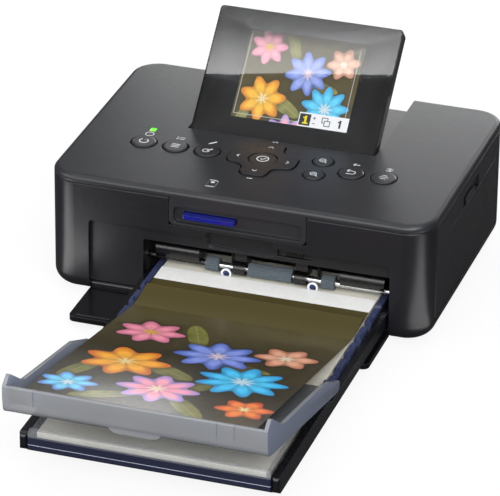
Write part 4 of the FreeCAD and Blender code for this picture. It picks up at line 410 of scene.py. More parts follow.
# %% [markdown]
# ## Guide rings
#
# Two small white rings with dark blue middles sit in front of the exit shaft, each on a black arm. They
# are one CAD piece, so the colour goes by place: the distance from a ring's middle gives the rim, and
# the depth parts the ring from its arm.

# %% Rings on their arms
def join(tree, x, y):
    """A vector from its X and Y."""
    return add(tree, "CombineXYZ", {0: x, 1: y}).outputs[0]


def measure(tree, vector):
    """The length of a vector."""
    return add(tree, "VectorMath", {0: vector}, operation="LENGTH").outputs["Value"]


def ring_finish():
    """A white rim round a dark blue middle at the front, black on the arm behind."""
    material, tree, shader = start_material("ring_white")
    place = here(tree)
    low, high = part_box("guide_rings")
    radius = RING_RADIUS * MM
    parts = split(tree, place)
    rim = 0.0
    for middle in (low.x + radius, high.x - radius):
        offset = join(tree, calc(tree, "SUBTRACT", parts["X"], middle),
                      calc(tree, "SUBTRACT", parts["Z"], RING_Z * MM))
        near = inside_span(tree, measure(tree, offset), radius * RIM_SHARE[0], radius * RIM_SHARE[1])
        rim = calc(tree, "MAXIMUM", rim, near)
    front = calc(tree, "LESS_THAN", parts["Y"], low.y + RING_DEPTH * MM)
    behind = blend(tree, front, tone("121215"), tone("1d2550"))
    white = calc(tree, "MULTIPLY", front, rim)
    feed(shader, "Base Color", blend(tree, white, behind, tone("e6e9f2")))
    speck = noise(tree, place, 900.0)
    feed(shader, "Roughness", spread(tree, speck, 0.2, 0.3))
    return material


RING_RADIUS, RING_Z, RING_DEPTH = 2.4, 18.9, 1.0
RIM_SHARE = (0.66, 1.05)
ring_white = ring_finish()
print("made:", ring_white.name)

# %% [markdown]
# ## Ink ribbon and power lamp
#
# The ribbon is film with bands of yellow, magenta and cyan, one after the other. A Color Ramp that
# doesn't blend its stops makes them. The power lamp glows green, a little brighter in some spots.

# %% Ribbon and lamp
def ribbon_finish():
    """Bands of coloured film, one after the other along the ribbon."""
    material, tree, shader = start_material("ribbon_film", Transmission_Weight=0.3)
    place = here(tree)
    along = calc(tree, "MULTIPLY", split(tree, place)["Y"], BANDS_PER_METRE)
    band = add(tree, "ValToRGB", {0: calc(tree, "FRACT", along)})
    ramp = band.color_ramp
    ramp.interpolation = "CONSTANT"
    ramp.elements[0].color, ramp.elements[1].color = tone("e0c21a"), tone("c2287a")
    ramp.elements[1].position = BAND_ENDS[0]
    ramp.elements.new(BAND_ENDS[1]).color = tone("1a8fc0")
    feed(shader, "Base Color", band.outputs["Color"])
    film = noise(tree, place, 500.0)
    feed(shader, "Roughness", spread(tree, film, 0.12, 0.22))
    return material


def lamp_finish():
    """A green lens that glows unevenly."""
    material, tree, shader = start_material("lamp_green", Roughness=0.25, Emission_Strength=1.0)
    glow = vary(tree, noise(tree, here(tree), 600.0), tone("35c41c"), tone("8bf04a"))
    feed(shader, "Base Color", glow)
    feed(shader, "Emission Color", glow)
    return material


BANDS_PER_METRE, BAND_ENDS = 24.0, (0.33, 0.66)
ribbon_film, lamp_green = ribbon_finish(), lamp_finish()
print("materials so far:", len(bpy.data.materials))

# %% [markdown]
# ## The picture
#
# The printer shows one picture twice: on its screen and on the fresh print. It is our own design, a
# bunch of large blossoms in front of dusky hills, made only of sums. Each blossom is a disc whose edge
# waves with the angle round its middle, and each leaf is a stretched disc.

# %% Blossoms and leaves
BLOSSOMS = (
    # across, up, radius, petals, turn, heart, petal, tip
    (0.83, 0.98, 0.135, 6, 0.3, "f0e3c8", "d8a184", "b9755c"),
    (0.20, 1.04, 0.150, 7, 0.9, "e8b93a", "e58fa0", "c96c8e"),
    (0.56, 0.86, 0.185, 8, 0.0, "f3d9dc", "7d8fd6", "4a62b4"),
    (0.24, 0.60, 0.190, 7, 0.5, "fbe9a8", "e9a52a", "cf6a1c"),
    (0.76, 0.58, 0.195, 9, 0.2, "dff2fa", "47bce8", "2a93cf"),
    (0.48, 0.32, 0.175, 8, 0.7, "ffe6c0", "ee93a8", "9a86cf"),
    (0.88, 0.24, 0.120, 6, 0.1, "fff0b8", "e27c3c", "c2502c"),
    (0.12, 0.22, 0.125, 7, 0.4, "e9f6fb", "6cc7ea", "5a7fd0"),
)
LEAVES = (
    # across, up, length, turn
    (0.40, 0.58, 0.20, 0.5), (0.62, 0.42, 0.17, 2.3), (0.10, 0.42, 0.15, 1.9), (0.40, 1.08, 0.16, 1.2),
    (0.70, 0.76, 0.14, 0.2), (0.66, 0.14, 0.16, 0.9), (0.30, 0.14, 0.15, 2.6),
)
PETAL_DEPTH = 0.16
SOFT_EDGE = 0.006
SHADOW_REACH = 0.35
CREASE_SLIM, LEAF_SLIM = 6.0, 3.4


def from_point(tree, place, point):
    """The place, counted from another point."""
    return add(tree, "VectorMath", {0: place, 1: point}, operation="SUBTRACT").outputs[0]


def paint_blossom(tree, place, grain, below, row):
    """One blossom over what is painted already."""
    across, up, radius, petals, turn, heart, petal, tip = row
    offset = from_point(tree, place, (across, up, 0.0))
    parts = split(tree, offset)
    distance, angle = measure(tree, offset), calc(tree, "ARCTAN2", parts["Y"], parts["X"])
    wave = calc(tree, "SINE", calc(tree, "MULTIPLY_ADD", angle, float(petals), turn))
    edge = calc(tree, "MULTIPLY_ADD", wave, radius * PETAL_DEPTH, radius * (1 - PETAL_DEPTH))
    share = calc(tree, "DIVIDE", distance, edge)
    wobble = calc(tree, "MULTIPLY_ADD", grain, 0.22, -0.11)
    ramp = add(tree, "ValToRGB", {0: calc(tree, "ADD", share, wobble)})
    stops = ramp.color_ramp.elements
    stops[0].position, stops[0].color = 0.10, shade(tone(heart), 0.9)
    stops[1].position, stops[1].color = 1.0, tone(tip)
    stops.new(0.30).color = tone(petal)
    stops.new(0.62).color = shade(tone(petal), 1.25)
    half_turns = calc(tree, "MULTIPLY_ADD", angle, petals / 2, turn / 2 + math.pi / 4)
    creases = calc(tree, "POWER", calc(tree, "ABSOLUTE", calc(tree, "COSINE", half_turns)), CREASE_SLIM)
    creased = blend(tree, calc(tree, "MULTIPLY", creases, 0.45), ramp.outputs["Color"],
                    shade(tone(tip), 0.45))
    inside = spread(tree, distance, 1.0, 0.0, edge, calc(tree, "ADD", edge, SOFT_EDGE))
    shadow = spread(tree, distance, 0.6, 0.0, edge, calc(tree, "ADD", edge, radius * SHADOW_REACH))
    return blend(tree, inside, blend(tree, shadow, below, tone("241f0e")), creased)


def paint_leaf(tree, place, grain, below, row):
    """One leaf: a disc stretched along its own direction, with a pale vein."""
    across, up, length, turn = row
    offset = from_point(tree, place, (across, up, 0.0))
    turned = add(tree, "VectorRotate", {"Vector": offset, "Angle": turn}, rotation_type="Z_AXIS")
    parts = split(tree, turned.outputs[0])
    distance = measure(tree, join(tree, parts["X"], calc(tree, "MULTIPLY", parts["Y"], LEAF_SLIM)))
    inside = spread(tree, distance, 1.0, 0.0, length * 0.94, length)
    vein = spread(tree, calc(tree, "ABSOLUTE", parts["Y"]), 0.5, 0.0, 0.0, 0.004)
    green = blend(tree, grain, tone("5d5f2a"), tone("8c8a48"))
    return blend(tree, inside, below, blend(tree, vein, green, tone("b3ab74")))


print("blossoms:", len(BLOSSOMS), "leaves:", len(LEAVES))

# %% [markdown]
# Behind them lie three ranges of hills, each darker than the one behind it, with crests that the noise
# roughens. The layers are painted over each other from far to near. The picture is kept in a node
# group that takes a place and gives a colour, so both surfaces use the same one.

# %% Hills and the whole picture
HILLS = (
    # level, height of the waves, how close they are, colours of crest and foot
    (1.28, 0.05, 7.0, "564e31", "443c20"),
    (1.12, 0.07, 4.6, "494126", "3a3319"),
    (0.80, 0.09, 3.1, "3d351b", "2f2912"),
)


def paint_hills(tree, place, grain):
    """Dusky sky over three ranges of hills, each a wave with its own height."""
    parts = split(tree, place)
    across, up = parts["X"], parts["Y"]
    colour = blend(tree, spread(tree, up, 0.0, 1.0, 0.9, 1.5), tone("6a613c"), tone("4b4325"))
    for level, height, waves, top, foot in HILLS:
        wave = calc(tree, "SINE", calc(tree, "MULTIPLY_ADD", across, waves, level * 9))
        line = calc(tree, "MULTIPLY_ADD", wave, height, level)
        line = calc(tree, "ADD", line, calc(tree, "MULTIPLY", grain, 0.05))
        below = calc(tree, "SUBTRACT", line, up)
        hill = blend(tree, spread(tree, below, 0.0, 1.0, 0.0, 0.35), tone(top), tone(foot))
        colour = blend(tree, spread(tree, below, 0.0, 1.0, 0.0, 0.012), colour, hill)
    return colour


def picture_group():
    """The whole picture, from a place to a colour."""
    group = bpy.data.node_groups.new("picture", "ShaderNodeTree")
    group.interface.new_socket("Place", in_out="INPUT", socket_type="NodeSocketVector")
    group.interface.new_socket("Colour", in_out="OUTPUT", socket_type="NodeSocketColor")
    entry, end = group.nodes.new("NodeGroupInput"), group.nodes.new("NodeGroupOutput")
    place = entry.outputs[0]
    grain = spread(group, noise(group, place, 9.0, 6.0, 0.65), 0.0, 1.0)
    colour = paint_hills(group, place, grain)
    for row in LEAVES:
        colour = paint_leaf(group, place, grain, colour, row)
    for row in BLOSSOMS:
        colour = paint_blossom(group, place, grain, colour, row)
    group.links.new(colour, end.inputs[0])
    return group


picture = picture_group()
print("picture has", len(picture.nodes), "nodes")

# %% [markdown]
# ## Screen
#
# The display lies behind a sheet of glass, tilted up at 45 degrees. Its picture has to follow the
# tilted surface, so the material first moves the hinge to the origin and turns the panel flat. Then
# across and up are plain lengths. A white status strip with a counter covers the lower right corner,
# drawn with rectangles.

# %% Display finish
TILT = math.radians(45.0)
display_low, display_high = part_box("screen_display")
DISPLAY_WIDTH = display_high.x - display_low.x
HINGE = Vector((0.7, 86.5, 58.5)) * MM


def rectangle(tree, across, up, x, y):
    """1 inside a rectangle given in mm on the panel, else 0."""
    return calc(tree, "MULTIPLY", inside_span(tree, across, x[0] * MM, x[1] * MM),
                inside_span(tree, up, y[0] * MM, y[1] * MM))


def picture_at(tree, across, up):
    """The picture's colour at a place, counted in widths of the picture."""
    return add(tree, "Group", {0: join(tree, across, up)}, node_tree=picture).outputs[0]


FOOT = 9.3 * MM
PICTURE_SIDES, PICTURE_FOOT = (0.02, 0.98), 0.42
DISPLAY_GAMMA = 0.72
LINE_COVER = 0.75
STATUS = (
    # colour, left and right, lower and upper edge in mm, up from the picture's foot
    ("f1f2f4", (4.8, 28.6), (0.0, 6.8)),
    ("26282c", (5.2, 10.4), (0.6, 6.2)),
    ("f4dc2e", (7.6, 8.6), (1.5, 5.3)), ("f4dc2e", (6.8, 7.6), (4.1, 4.7)),
    ("f4dc2e", (6.8, 9.4), (1.4, 2.1)),
    ("26282c", (11.4, 12.8), (4.5, 4.8)), ("26282c", (11.95, 12.25), (3.95, 5.35)),
    ("26282c", (11.4, 12.8), (1.9, 2.2)),
    ("5a5d63", (15.6, 18.6), (2.8, 5.6)), ("f1f2f4", (16.0, 18.2), (3.2, 5.2)),
    ("5a5d63", (16.8, 19.8), (1.4, 4.2)), ("f1f2f4", (17.2, 19.4), (1.8, 3.8)),
    ("26282c", (23.9, 24.8), (1.4, 5.3)), ("26282c", (23.2, 23.9), (4.1, 4.7)),
)
FRAME_LINES = (((-26.0, 26.2), (41.9, 42.2)), ((-26.0, 26.2), (1.6, 1.9)), ((-26.0, -25.7), (1.6, 42.2)),
               ((25.9, 26.2), (1.6, 42.2)))


def display_finish():
    """The lit picture with its status strip."""
    material, tree, shader = start_material("display_lit", Roughness=0.3, Emission_Strength=0.95)
    moved = from_point(tree, here(tree), HINGE)
    flat = add(tree, "VectorRotate", {"Vector": moved, "Angle": -TILT}, rotation_type="X_AXIS")
    parts = split(tree, flat.outputs[0])
    across, up = parts["X"], calc(tree, "SUBTRACT", parts["Y"], FOOT)
    left, right = PICTURE_SIDES
    side = spread(tree, across, left, right, display_low.x - HINGE.x, display_high.x - HINGE.x)
    rise = calc(tree, "MULTIPLY_ADD", up, (right - left) / DISPLAY_WIDTH, PICTURE_FOOT)
    colour = add(tree, "Gamma", {"Color": picture_at(tree, side, rise), "Gamma": DISPLAY_GAMMA}).outputs[0]
    for x, y in FRAME_LINES:
        line = calc(tree, "MULTIPLY", rectangle(tree, across, up, x, y), LINE_COVER)
        colour = blend(tree, line, colour, tone("d9d8cf"))
    for code, x, y in STATUS:
        colour = blend(tree, rectangle(tree, across, up, x, y), colour, tone(code))
    feed(shader, "Emission Color", colour)
    feed(shader, "Base Color", blend(tree, 0.85, colour, BLACK))
    return material


display_lit = display_finish()
screen_black = moulded("screen_black", tone("0d0d0f"), gloss=0.03, grain_depth=0.0005, uneven=0.01)
print("display is", round(DISPLAY_WIDTH / MM, 1), "mm wide")

# %% [markdown]
# ## Finishes on the CAD pieces
#
# Every piece that came from CAD gets its finish here, also the ones deep inside, because they show
# when a door is open. A table from finish to piece names keeps this short. The piece names are those
# of the real parts.

# %% Give each piece its finish
FINISHES = (
    (case_black, "lower_case ink_door"),
    (case_grey, "top_cover"),
    (cover_black, "front_cover"),
    (inner_black, "cover_latch exit_beam roller_brackets paper_guide power_inlet"),
    (tray_black, "cassette_tray"),
    (key_black, "power_button menu_button edit_button zoom_in_button zoom_out_button back_button "
                "print_button centre_button direction_pad"),
    (rubber_black, "rubber_feet platen_roller pinch_roller pickup_roller"),
    (roller_slate, "exit_rollers"),
    (turned_steel, "case_screws pickup_shaft capstan_roller"),
    (sleeved_steel, "eject_shaft"),
    (plated_sheet, "card_reader chassis_frame head_bracket pressure_plate motor_bracket usb_socket"),
    (motor_steel, "drive_motor"),
    (head_alloy, "head_sink"),
    (bush_brass, "bearing_bushes"),
    (ceramic_brown, "print_head"),
    (gear_white, "eject_gear platen_gear idler_gear_front idler_gear_rear motor_pinion"),
    (ring_white, "guide_rings"),
    (ink_grey, "ink_cassette supply_spool takeup_spool"),
    (ribbon_film, "ink_ribbon"),
    (board_green, "key_board main_board"),
    (lamp_green, "power_lamp"),
    (card_blue, "memory_card"),
    (screen_black, "screen_shell"),
    (screen_glass, "screen_glass"),
    (display_lit, "screen_display"),
    (navy_clear, "cassette_sides"),
    (photo_paper, "paper_stack printed_sheet"),
    (clear, "inner_lid"),
    (smoke_clear, "outer_lid"),
)
dressed = set()
for finish, names in FINISHES:
    for name in names.split():
        nodes[name].data.materials.clear()
        nodes[name].data.materials.append(finish)
        dressed.add(name)
print("dressed", len(dressed), "of", len(nodes), "pieces; left out:", sorted(set(nodes) - dressed))

# %% [markdown]
# ## Soft edges on the lids
#
# A clear moulding shows its edges more than anything else: each is rounded by about half a millimetre
# and carries a bright line. The CAD lids have sharp edges, so a copy of each is merged, its flat
# triangles are joined into whole faces, and a Bevel modifier rounds the edges. The copies then take
# the place of the CAD lids.

# %% Round the lids
LID_EDGE = 0.45 * MM
FLAT = math.radians(1.0)
SHARP = math.radians(28.0)


def mode(name):
    """Goes into edit mode or back to object mode."""
    bpy.ops.object.mode_set(mode=name)


def apply_modifier(piece, kind, **settings):
    """Adds a modifier, sets it and applies it."""
    modifier = piece.modifiers.new(kind.lower(), kind)
    for key, value in settings.items():
        setattr(modifier, key, value)
    bpy.context.view_layer.objects.active = piece
    bpy.ops.object.modifier_apply(modifier=modifier.name)


def softened(name):
    """A copy of a CAD piece with round edges, in the same place and with the same finish."""
    piece = new_object(name + "_soft", nodes[name].data.copy())
    bpy.ops.object.select_all(action="DESELECT")
    piece.select_set(True)
    bpy.context.view_layer.objects.active = piece
    mode("EDIT")
    bpy.ops.mesh.select_all(action="SELECT")
    bpy.ops.mesh.remove_doubles(threshold=0.002 * MM)
    bpy.ops.mesh.dissolve_limited(angle_limit=FLAT)
    mode("OBJECT")
    apply_modifier(piece, "BEVEL", width=LID_EDGE, segments=3, limit_method="ANGLE", angle_limit=SHARP)
    bpy.ops.object.shade_smooth_by_angle(angle=SHARP)
    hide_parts(name)
    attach(piece, name + "_body")
    return piece


for name, finish in (("outer_lid", "smoke_clear"), ("inner_lid", "clear")):
    lid = softened(name)
    print(name, "has", len(lid.data.polygons), "faces with soft edges")

# %% [markdown]
# ## The fresh print
#
# A print has just come out. Its rear end is still under the rollers, it lies flat on the stack for a
# while and then rises to lean on the lip of the tray. We start from a plane for the flat part, turn
# its front edge upwards with Spin, as the paper bends, and extrude the rest in a line. Spin gives an
# even bend that no hand-placed points would. Lengths along the paper become its UV map, so that the
# picture stays on the paper, also over the bend.

# %% Sheet helpers
def select_edges(piece, test):
    """In edit mode, selects only the edges for which test(middle) is true."""
    mode("OBJECT")
    mesh = piece.data
    for group in (mesh.vertices, mesh.edges, mesh.polygons):
        group.foreach_set("select", [False] * len(group))
    for edge in mesh.edges:
        first, second = edge.vertices
        edge.select = bool(test((mesh.vertices[first].co + mesh.vertices[second].co) / 2))
    mode("EDIT")


def plane(name, size=1.0, scale=(1.0, 1.0, 1.0), **settings):
    """Adds a plane with everything else deselected, names it and scales it in place."""
    bpy.ops.object.select_all(action="DESELECT")
    bpy.ops.mesh.primitive_plane_add(size=size, **settings)
    piece = bpy.context.object
    piece.name = piece.data.name = name
    piece.scale = scale
    bpy.ops.object.transform_apply(location=True, rotation=True, scale=True)
    return piece


print("sheet helpers ready")

# %% The fresh print
paper_low, paper_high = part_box("printed_sheet")
PAPER_X = (paper_low.x, paper_high.x)
PAPER_WIDTH = PAPER_X[1] - PAPER_X[0]
PAPER_REAR = paper_high.y
PAPER_THICK = 0.3 * MM
BEND_Y, BEND_Z = -18.5 * MM, 17.8 * MM
BEND_RADIUS = 90.0 * MM
RISE = math.atan2(paper_high.z - PAPER_THICK - BEND_Z, BEND_Y - paper_low.y)
bend_start = BEND_Y + BEND_RADIUS * math.tan(RISE / 2)
WHITE_STRIP = 11.6 * MM
BEND_STEPS, ROWS = 14, 24


def fresh_print():
    """The bent sheet, still without its thickness."""
    flat = PAPER_REAR - bend_start
    sheet = plane("fresh_print", scale=(PAPER_WIDTH, flat, 1.0),
                  location=((PAPER_X[0] + PAPER_X[1]) / 2, bend_start + flat / 2, BEND_Z))
    mode("EDIT")
    bpy.ops.mesh.select_mode(type="EDGE")
    select_edges(sheet, lambda c: c.y < bend_start + 0.1 * MM)
    bpy.ops.mesh.spin(steps=BEND_STEPS, angle=-RISE, axis=(1, 0, 0),
                      center=(0.0, bend_start, BEND_Z + BEND_RADIUS))
    mode("OBJECT")
    front = min(v.co.y for v in sheet.data.vertices)
    mode("EDIT")
    select_edges(sheet, lambda c: c.y < front + 0.01 * MM)
    run = (front - paper_low.y) / ROWS
    for _ in range(ROWS):
        bpy.ops.mesh.extrude_region_move(
            TRANSFORM_OT_translate={"value": (0.0, -run, run * math.tan(RISE))})
    bpy.ops.mesh.select_all(action="SELECT")
    bpy.ops.mesh.remove_doubles(threshold=0.001 * MM)
    mode("OBJECT")
    return sheet


def row_of(vertex):
    """The row across the paper that a vertex is in."""
    return round(vertex.co.y, 7), round(vertex.co.z, 7)


def measure_rows(sheet):
    """Length along the paper of each row of vertices, by its place from rear to front."""
    rows = sorted({row_of(vertex) for vertex in sheet.data.vertices}, reverse=True)
    lengths, total = {rows[0]: 0.0}, 0.0
    for before, after in zip(rows, rows[1:]):
        total += math.dist(before, after)
        lengths[after] = total
    return lengths, total


def unwrap(sheet):
    """UV map: across from 0 to 1, and along in the same unit, from 0 at the rear edge."""
    lengths, total = measure_rows(sheet)
    layer = sheet.data.uv_layers.active or sheet.data.uv_layers.new(name="UVMap")
    for loop in sheet.data.loops:
        vertex = sheet.data.vertices[loop.vertex_index]
        along = lengths[row_of(vertex)]
        layer.data[loop.index].uv = ((vertex.co.x - PAPER_X[0]) / PAPER_WIDTH, along / PAPER_WIDTH)
    return total


sheet = fresh_print()
PAPER_RUN = unwrap(sheet)
print("paper length in mm:", round(PAPER_RUN / MM, 1), "rise in degrees:", round(math.degrees(RISE), 1))

# %% [markdown]
# The finish is glossy paper with a white strip at the rear, and Solidify gives the sheet its thickness.
# The print lies partly on the stack and partly on the outer lid.

# %% Thickness and finish of the print
def print_finish():
    """Glossy photo paper: white strip at the rear, the picture on the rest."""
    material, tree, shader = start_material("print_gloss", Coat_Weight=0.25, Coat_Roughness=0.12)
    place = add(tree, "TexCoord").outputs["UV"]
    parts = split(tree, place)
    up = calc(tree, "MULTIPLY_ADD", parts["Y"], -1.0, PAPER_RUN / PAPER_WIDTH)
    strip = calc(tree, "LESS_THAN", parts["Y"], WHITE_STRIP / PAPER_WIDTH)
    fibre = noise(tree, place, 40.0, 4.0)
    white = vary(tree, fibre, tone("ececea"), tone("f3f3f1"))
    feed(shader, "Base Color", blend(tree, strip, picture_at(tree, parts["X"], up), white))
    feed(shader, "Roughness", spread(tree, fibre, 0.28, 0.36))
    return material


apply_modifier(sheet, "SOLIDIFY", thickness=PAPER_THICK, offset=1.0)
sheet.data.materials.append(print_finish())
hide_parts("printed_sheet")
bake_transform(sheet)
print("print has", len(sheet.data.polygons), "faces")

# %% [markdown]
# ## Printed marks
#
# The keys and the panel carry small light grey marks, printed with a pad. A mark is a thin film of
# ink, so each is modelled as a flat shape a few hundredths of a millimetre thick. All of them are made
# of only two shapes, a bar and a hoop, described in millimetres round the mark's own middle.

# %% Shapes of the marks
INK_FILM = 0.05 * MM
HOOP_STEP = 12


def bar(x, y, length, width, turn=0.0):
    """A bar with slightly round corners."""
    shape = plane("bar", scale=(length * MM, width * MM, 1.0))
    mode("EDIT")
    bpy.ops.mesh.bevel(offset=width * MM * 0.3, segments=2, affect="VERTICES")
    mode("OBJECT")
    shape.rotation_euler.z = math.radians(turn)
    shape.location = (x * MM, y * MM, 0.0)
    bpy.ops.object.transform_apply(location=True, rotation=True, scale=True)
    return shape


def hoop(x, y, radius, width, start=0.0, sweep=360.0):
    """A ring, or a part of one, swept from a single edge by Spin."""
    shape = plane("hoop")
    mode("EDIT")
    bpy.ops.mesh.delete(type="ONLY_FACE")
    select_edges(shape, lambda c: c.x > 0.4)
    bpy.ops.mesh.select_all(action="INVERT")
    bpy.ops.mesh.delete(type="EDGE")
    mode("OBJECT")
    inner, outer = (radius - width / 2) * MM, (radius + width / 2) * MM
    angle = math.radians(start)
    spoke = Vector((math.cos(angle), math.sin(angle), 0.0))
    for vertex, reach in zip(shape.data.vertices, (inner, outer)):
        vertex.co = spoke * reach
    mode("EDIT")
    bpy.ops.mesh.select_all(action="SELECT")
    steps = max(4, round(sweep / HOOP_STEP))
    bpy.ops.mesh.spin(steps=steps, angle=-math.radians(sweep), axis=(0, 0, 1), center=(0, 0, 0))
    bpy.ops.mesh.select_all(action="SELECT")
    bpy.ops.mesh.remove_doubles(threshold=0.002 * MM)
    bpy.ops.transform.translate(value=(x * MM, y * MM, 0.0))
    mode("OBJECT")
    return shape


SHAPES = {"bar": bar, "hoop": hoop}
print("mark shapes:", sorted(SHAPES))

# %% [markdown]
# The shapes of a mark are joined into one piece, turned face up and given the film's thickness with
# Solidify. A key's mark rides on the key, so that it goes down with it. The ink is a little uneven.

# %% Ink of the marks
def ink_finish(name, colour):
    """Pad-printed ink: a little uneven in cover and gloss."""
    material, tree, shader = start_material(name)
    cover = noise(tree, here(tree), 2600.0, 3.0)
    feed(shader, "Base Color", vary(tree, cover, shade(colour, 0.82), colour))
    feed(shader, "Roughness", spread(tree, cover, 0.45, 0.6))
    return material


mark_ink = ink_finish("mark_ink", tone("d6d8dd"))


def mark(name, place, shapes, body):
    """Joins the shapes of one mark, gives it thickness and puts it on its surface."""
    made = [SHAPES[kind](*values) for kind, *values in shapes]
    for shape in made:
        shape.select_set(True)
    bpy.context.view_layer.objects.active = made[0]
    bpy.ops.object.join()
    piece = bpy.context.object
    piece.name = piece.data.name = name
    piece.data.materials.clear()
    piece.data.materials.append(mark_ink)
    mode("EDIT")
    bpy.ops.mesh.select_all(action="SELECT")
    bpy.ops.mesh.normals_make_consistent(inside=False)
    mode("OBJECT")
    for polygon in piece.data.polygons:
        if polygon.normal.z < 0:
            polygon.flip()
    apply_modifier(piece, "SOLIDIFY", thickness=INK_FILM, offset=1.0)
    piece.location = Vector(place) * MM
    bpy.ops.object.transform_apply(location=True, rotation=True, scale=True)
    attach(piece, body)
    return piece


print("ink:", mark_ink.name)

# %% Marks on the keys
KEY_TOP, PANEL_TOP, ROW_SHIFT = 61.1, 60.5, 21.5
MAGNIFIER = (
    ("hoop", -0.3, 0.3, 1.4, 0.4), ("bar", 1.4, -1.4, 1.6, 0.5, -45), ("bar", -0.3, 0.3, 1.4, 0.35))
KEY_MARKS = (
    # name, across, up, shapes
    ("power", -57.8, 42.3, (("hoop", 0, 0, 2.0, 0.5, 120, 300), ("bar", 0, 1.9, 0.5, 2.0))),
    ("menu", -42.7, 42.3, (("bar", 0, 1.4, 3.8, 0.5), ("bar", 0, 0, 3.8, 0.5), ("bar", 0, -1.4, 3.8, 0.5))),
    ("edit", -27.6, 42.3, (("hoop", -0.5, -0.3, 1.5, 0.45, 60, 300), ("bar", 0.9, 0.9, 3.2, 0.7, 45))),
    ("zoom_in", 24.8, 49.45, MAGNIFIER + (("bar", -0.3, 0.3, 0.35, 1.4),)),
    ("zoom_out", 24.8, 35.15, MAGNIFIER),
    ("back", 40.0, 42.3, (
        ("hoop", 0.4, -0.2, 1.5, 0.45, -90, 180), ("bar", -0.9, 1.3, 2.4, 0.45),
        ("bar", -0.9, -1.7, 2.4, 0.45), ("bar", -1.7, 1.9, 1.6, 0.45, 45),
        ("bar", -1.7, 0.75, 1.6, 0.45, -45))),
    ("print", 55.1, 42.3, (
        ("bar", 0, 0.2, 4.2, 0.45), ("bar", -1.9, -0.6, 0.45, 1.8), ("bar", 1.9, -0.6, 0.45, 1.8),
        ("bar", 0, -1.5, 2.6, 0.45), ("bar", 0, 1.7, 2.4, 0.45), ("bar", -1.1, 1.0, 0.4, 1.6),
        ("bar", 1.1, 1.0, 0.4, 1.6))),
    ("centre", -1.35, 42.3, (
        ("hoop", 0, 0, 2.6, 0.55), ("bar", -0.5, -0.5, 1.5, 0.5, -45), ("bar", 0.55, 0.1, 2.5, 0.5, 50))),
)
for name, x, y, shapes in KEY_MARKS:
    mark(f"{name}_mark", (x, y + ROW_SHIFT, KEY_TOP), shapes, f"{name}_button_body")
print("key marks:", len(KEY_MARKS))

# %% [markdown]
# The panel has marks of its own: one above each round key, a plus and a minus beyond the direction
# pad, and the outline of a memory card over the slot. The pad itself has an arrow on each arm.

# %% Marks on the panel
def arrow(x, y, way):
    """A small chevron that points one way, in degrees."""
    legs = []
    for side in (-1, 1):
        middle = Matrix.Rotation(math.radians(way), 2) @ Vector((-0.55, side * 0.55))
        legs.append(("bar", x + middle.x, y + middle.y, 1.6, 0.4, way - 45 * side))
    return legs


PANEL_MARKS = (
    # name, across, up, shapes
    ("on_sign", -58.0, 51.0, (("bar", 0, 0, 0.5, 2.4), ("hoop", 0, 0, 1.9, 0.4))),
    ("menu_sign", -43.0, 51.2, (
        ("bar", -1.6, 0.8, 0.8, 0.8), ("bar", 0.6, 0.8, 2.4, 0.45), ("bar", -1.6, -0.8, 0.8, 0.8),
        ("bar", 0.6, -0.8, 2.4, 0.45))),
    ("edit_sign", -27.8, 51.8, (("bar", 0, 0, 3.6, 0.9, 45), ("bar", -1.5, -1.5, 0.7, 0.5, 45))),
    ("plus_sign", -1.6, 61.4, (("bar", 0, 0, 2.6, 0.5), ("bar", 0, 0, 0.5, 2.6))),
    ("minus_sign", -1.2, 22.8, (("bar", 0, 0, 2.6, 0.5),)),
    ("back_sign", 39.7, 51.4, (
        ("bar", 0.3, 0, 3.0, 0.5), ("bar", -0.8, 0.55, 1.7, 0.45, 45),
        ("bar", -0.8, -0.55, 1.7, 0.45, -45))),
    ("print_sign", 55.3, 51.3, (
        ("bar", 0, 1.2, 2.8, 0.4), ("bar", 0, -1.2, 2.8, 0.4), ("bar", -1.4, 0, 0.4, 2.8),
        ("bar", 1.4, 0, 0.4, 2.8), ("hoop", 0, 0, 0.5, 0.35))),
    ("card_sign", -15.2, 12.5, (
        ("bar", -0.5, 3.1, 3.4, 0.5), ("bar", 0, -3.1, 4.6, 0.5), ("bar", -2.2, 0, 0.5, 6.6),
        ("bar", 2.2, -0.6, 0.5, 5.4), ("bar", 1.6, 2.7, 1.5, 0.45, -45), ("bar", 0, 1.2, 1.8, 1.6))),
)
for name, x, y, shapes in PANEL_MARKS:
    mark(name, (x, y + ROW_SHIFT, PANEL_TOP), shapes, "housing")
ARROWS = ((12.2, 0.0, 0.0), (0.0, 13.0, 90.0), (-12.2, 0.0, 180.0), (0.0, -13.0, -90.0))
pad_shapes = [leg for x, y, way in ARROWS for leg in arrow(x, y, way)]
mark("pad_arrows", (-1.35, 42.3 + ROW_SHIFT, KEY_TOP), pad_shapes, "direction_pad_body")
print("panel marks:", len(PANEL_MARKS) + 1)

# %% [markdown]
# ## Floor and world
#
# The picture has a white ground. The camera sees the floor as white paper with a faint shadow, while
# in the gloss of the printer the paper is dark grey, as if black cards lay just outside the picture,
# because black plastic shows whatever is around it. The world too is white to the camera, and apart
# from that a weak light that fades from the horizon upwards.

# %% Floor
FLOOR_GLOW = 0.88
FLOOR_IN_GLOSS = 0.02
FLOOR_SIZE, FLOOR_DROP = 12.0, 0.0002


def seen_directly(tree):
    """1 for what the camera sees, also through glass, else 0."""
    rays = add(tree, "LightPath").outputs
    return calc(tree, "MAXIMUM", rays["Is Camera Ray"], rays["Is Transmission Ray"])


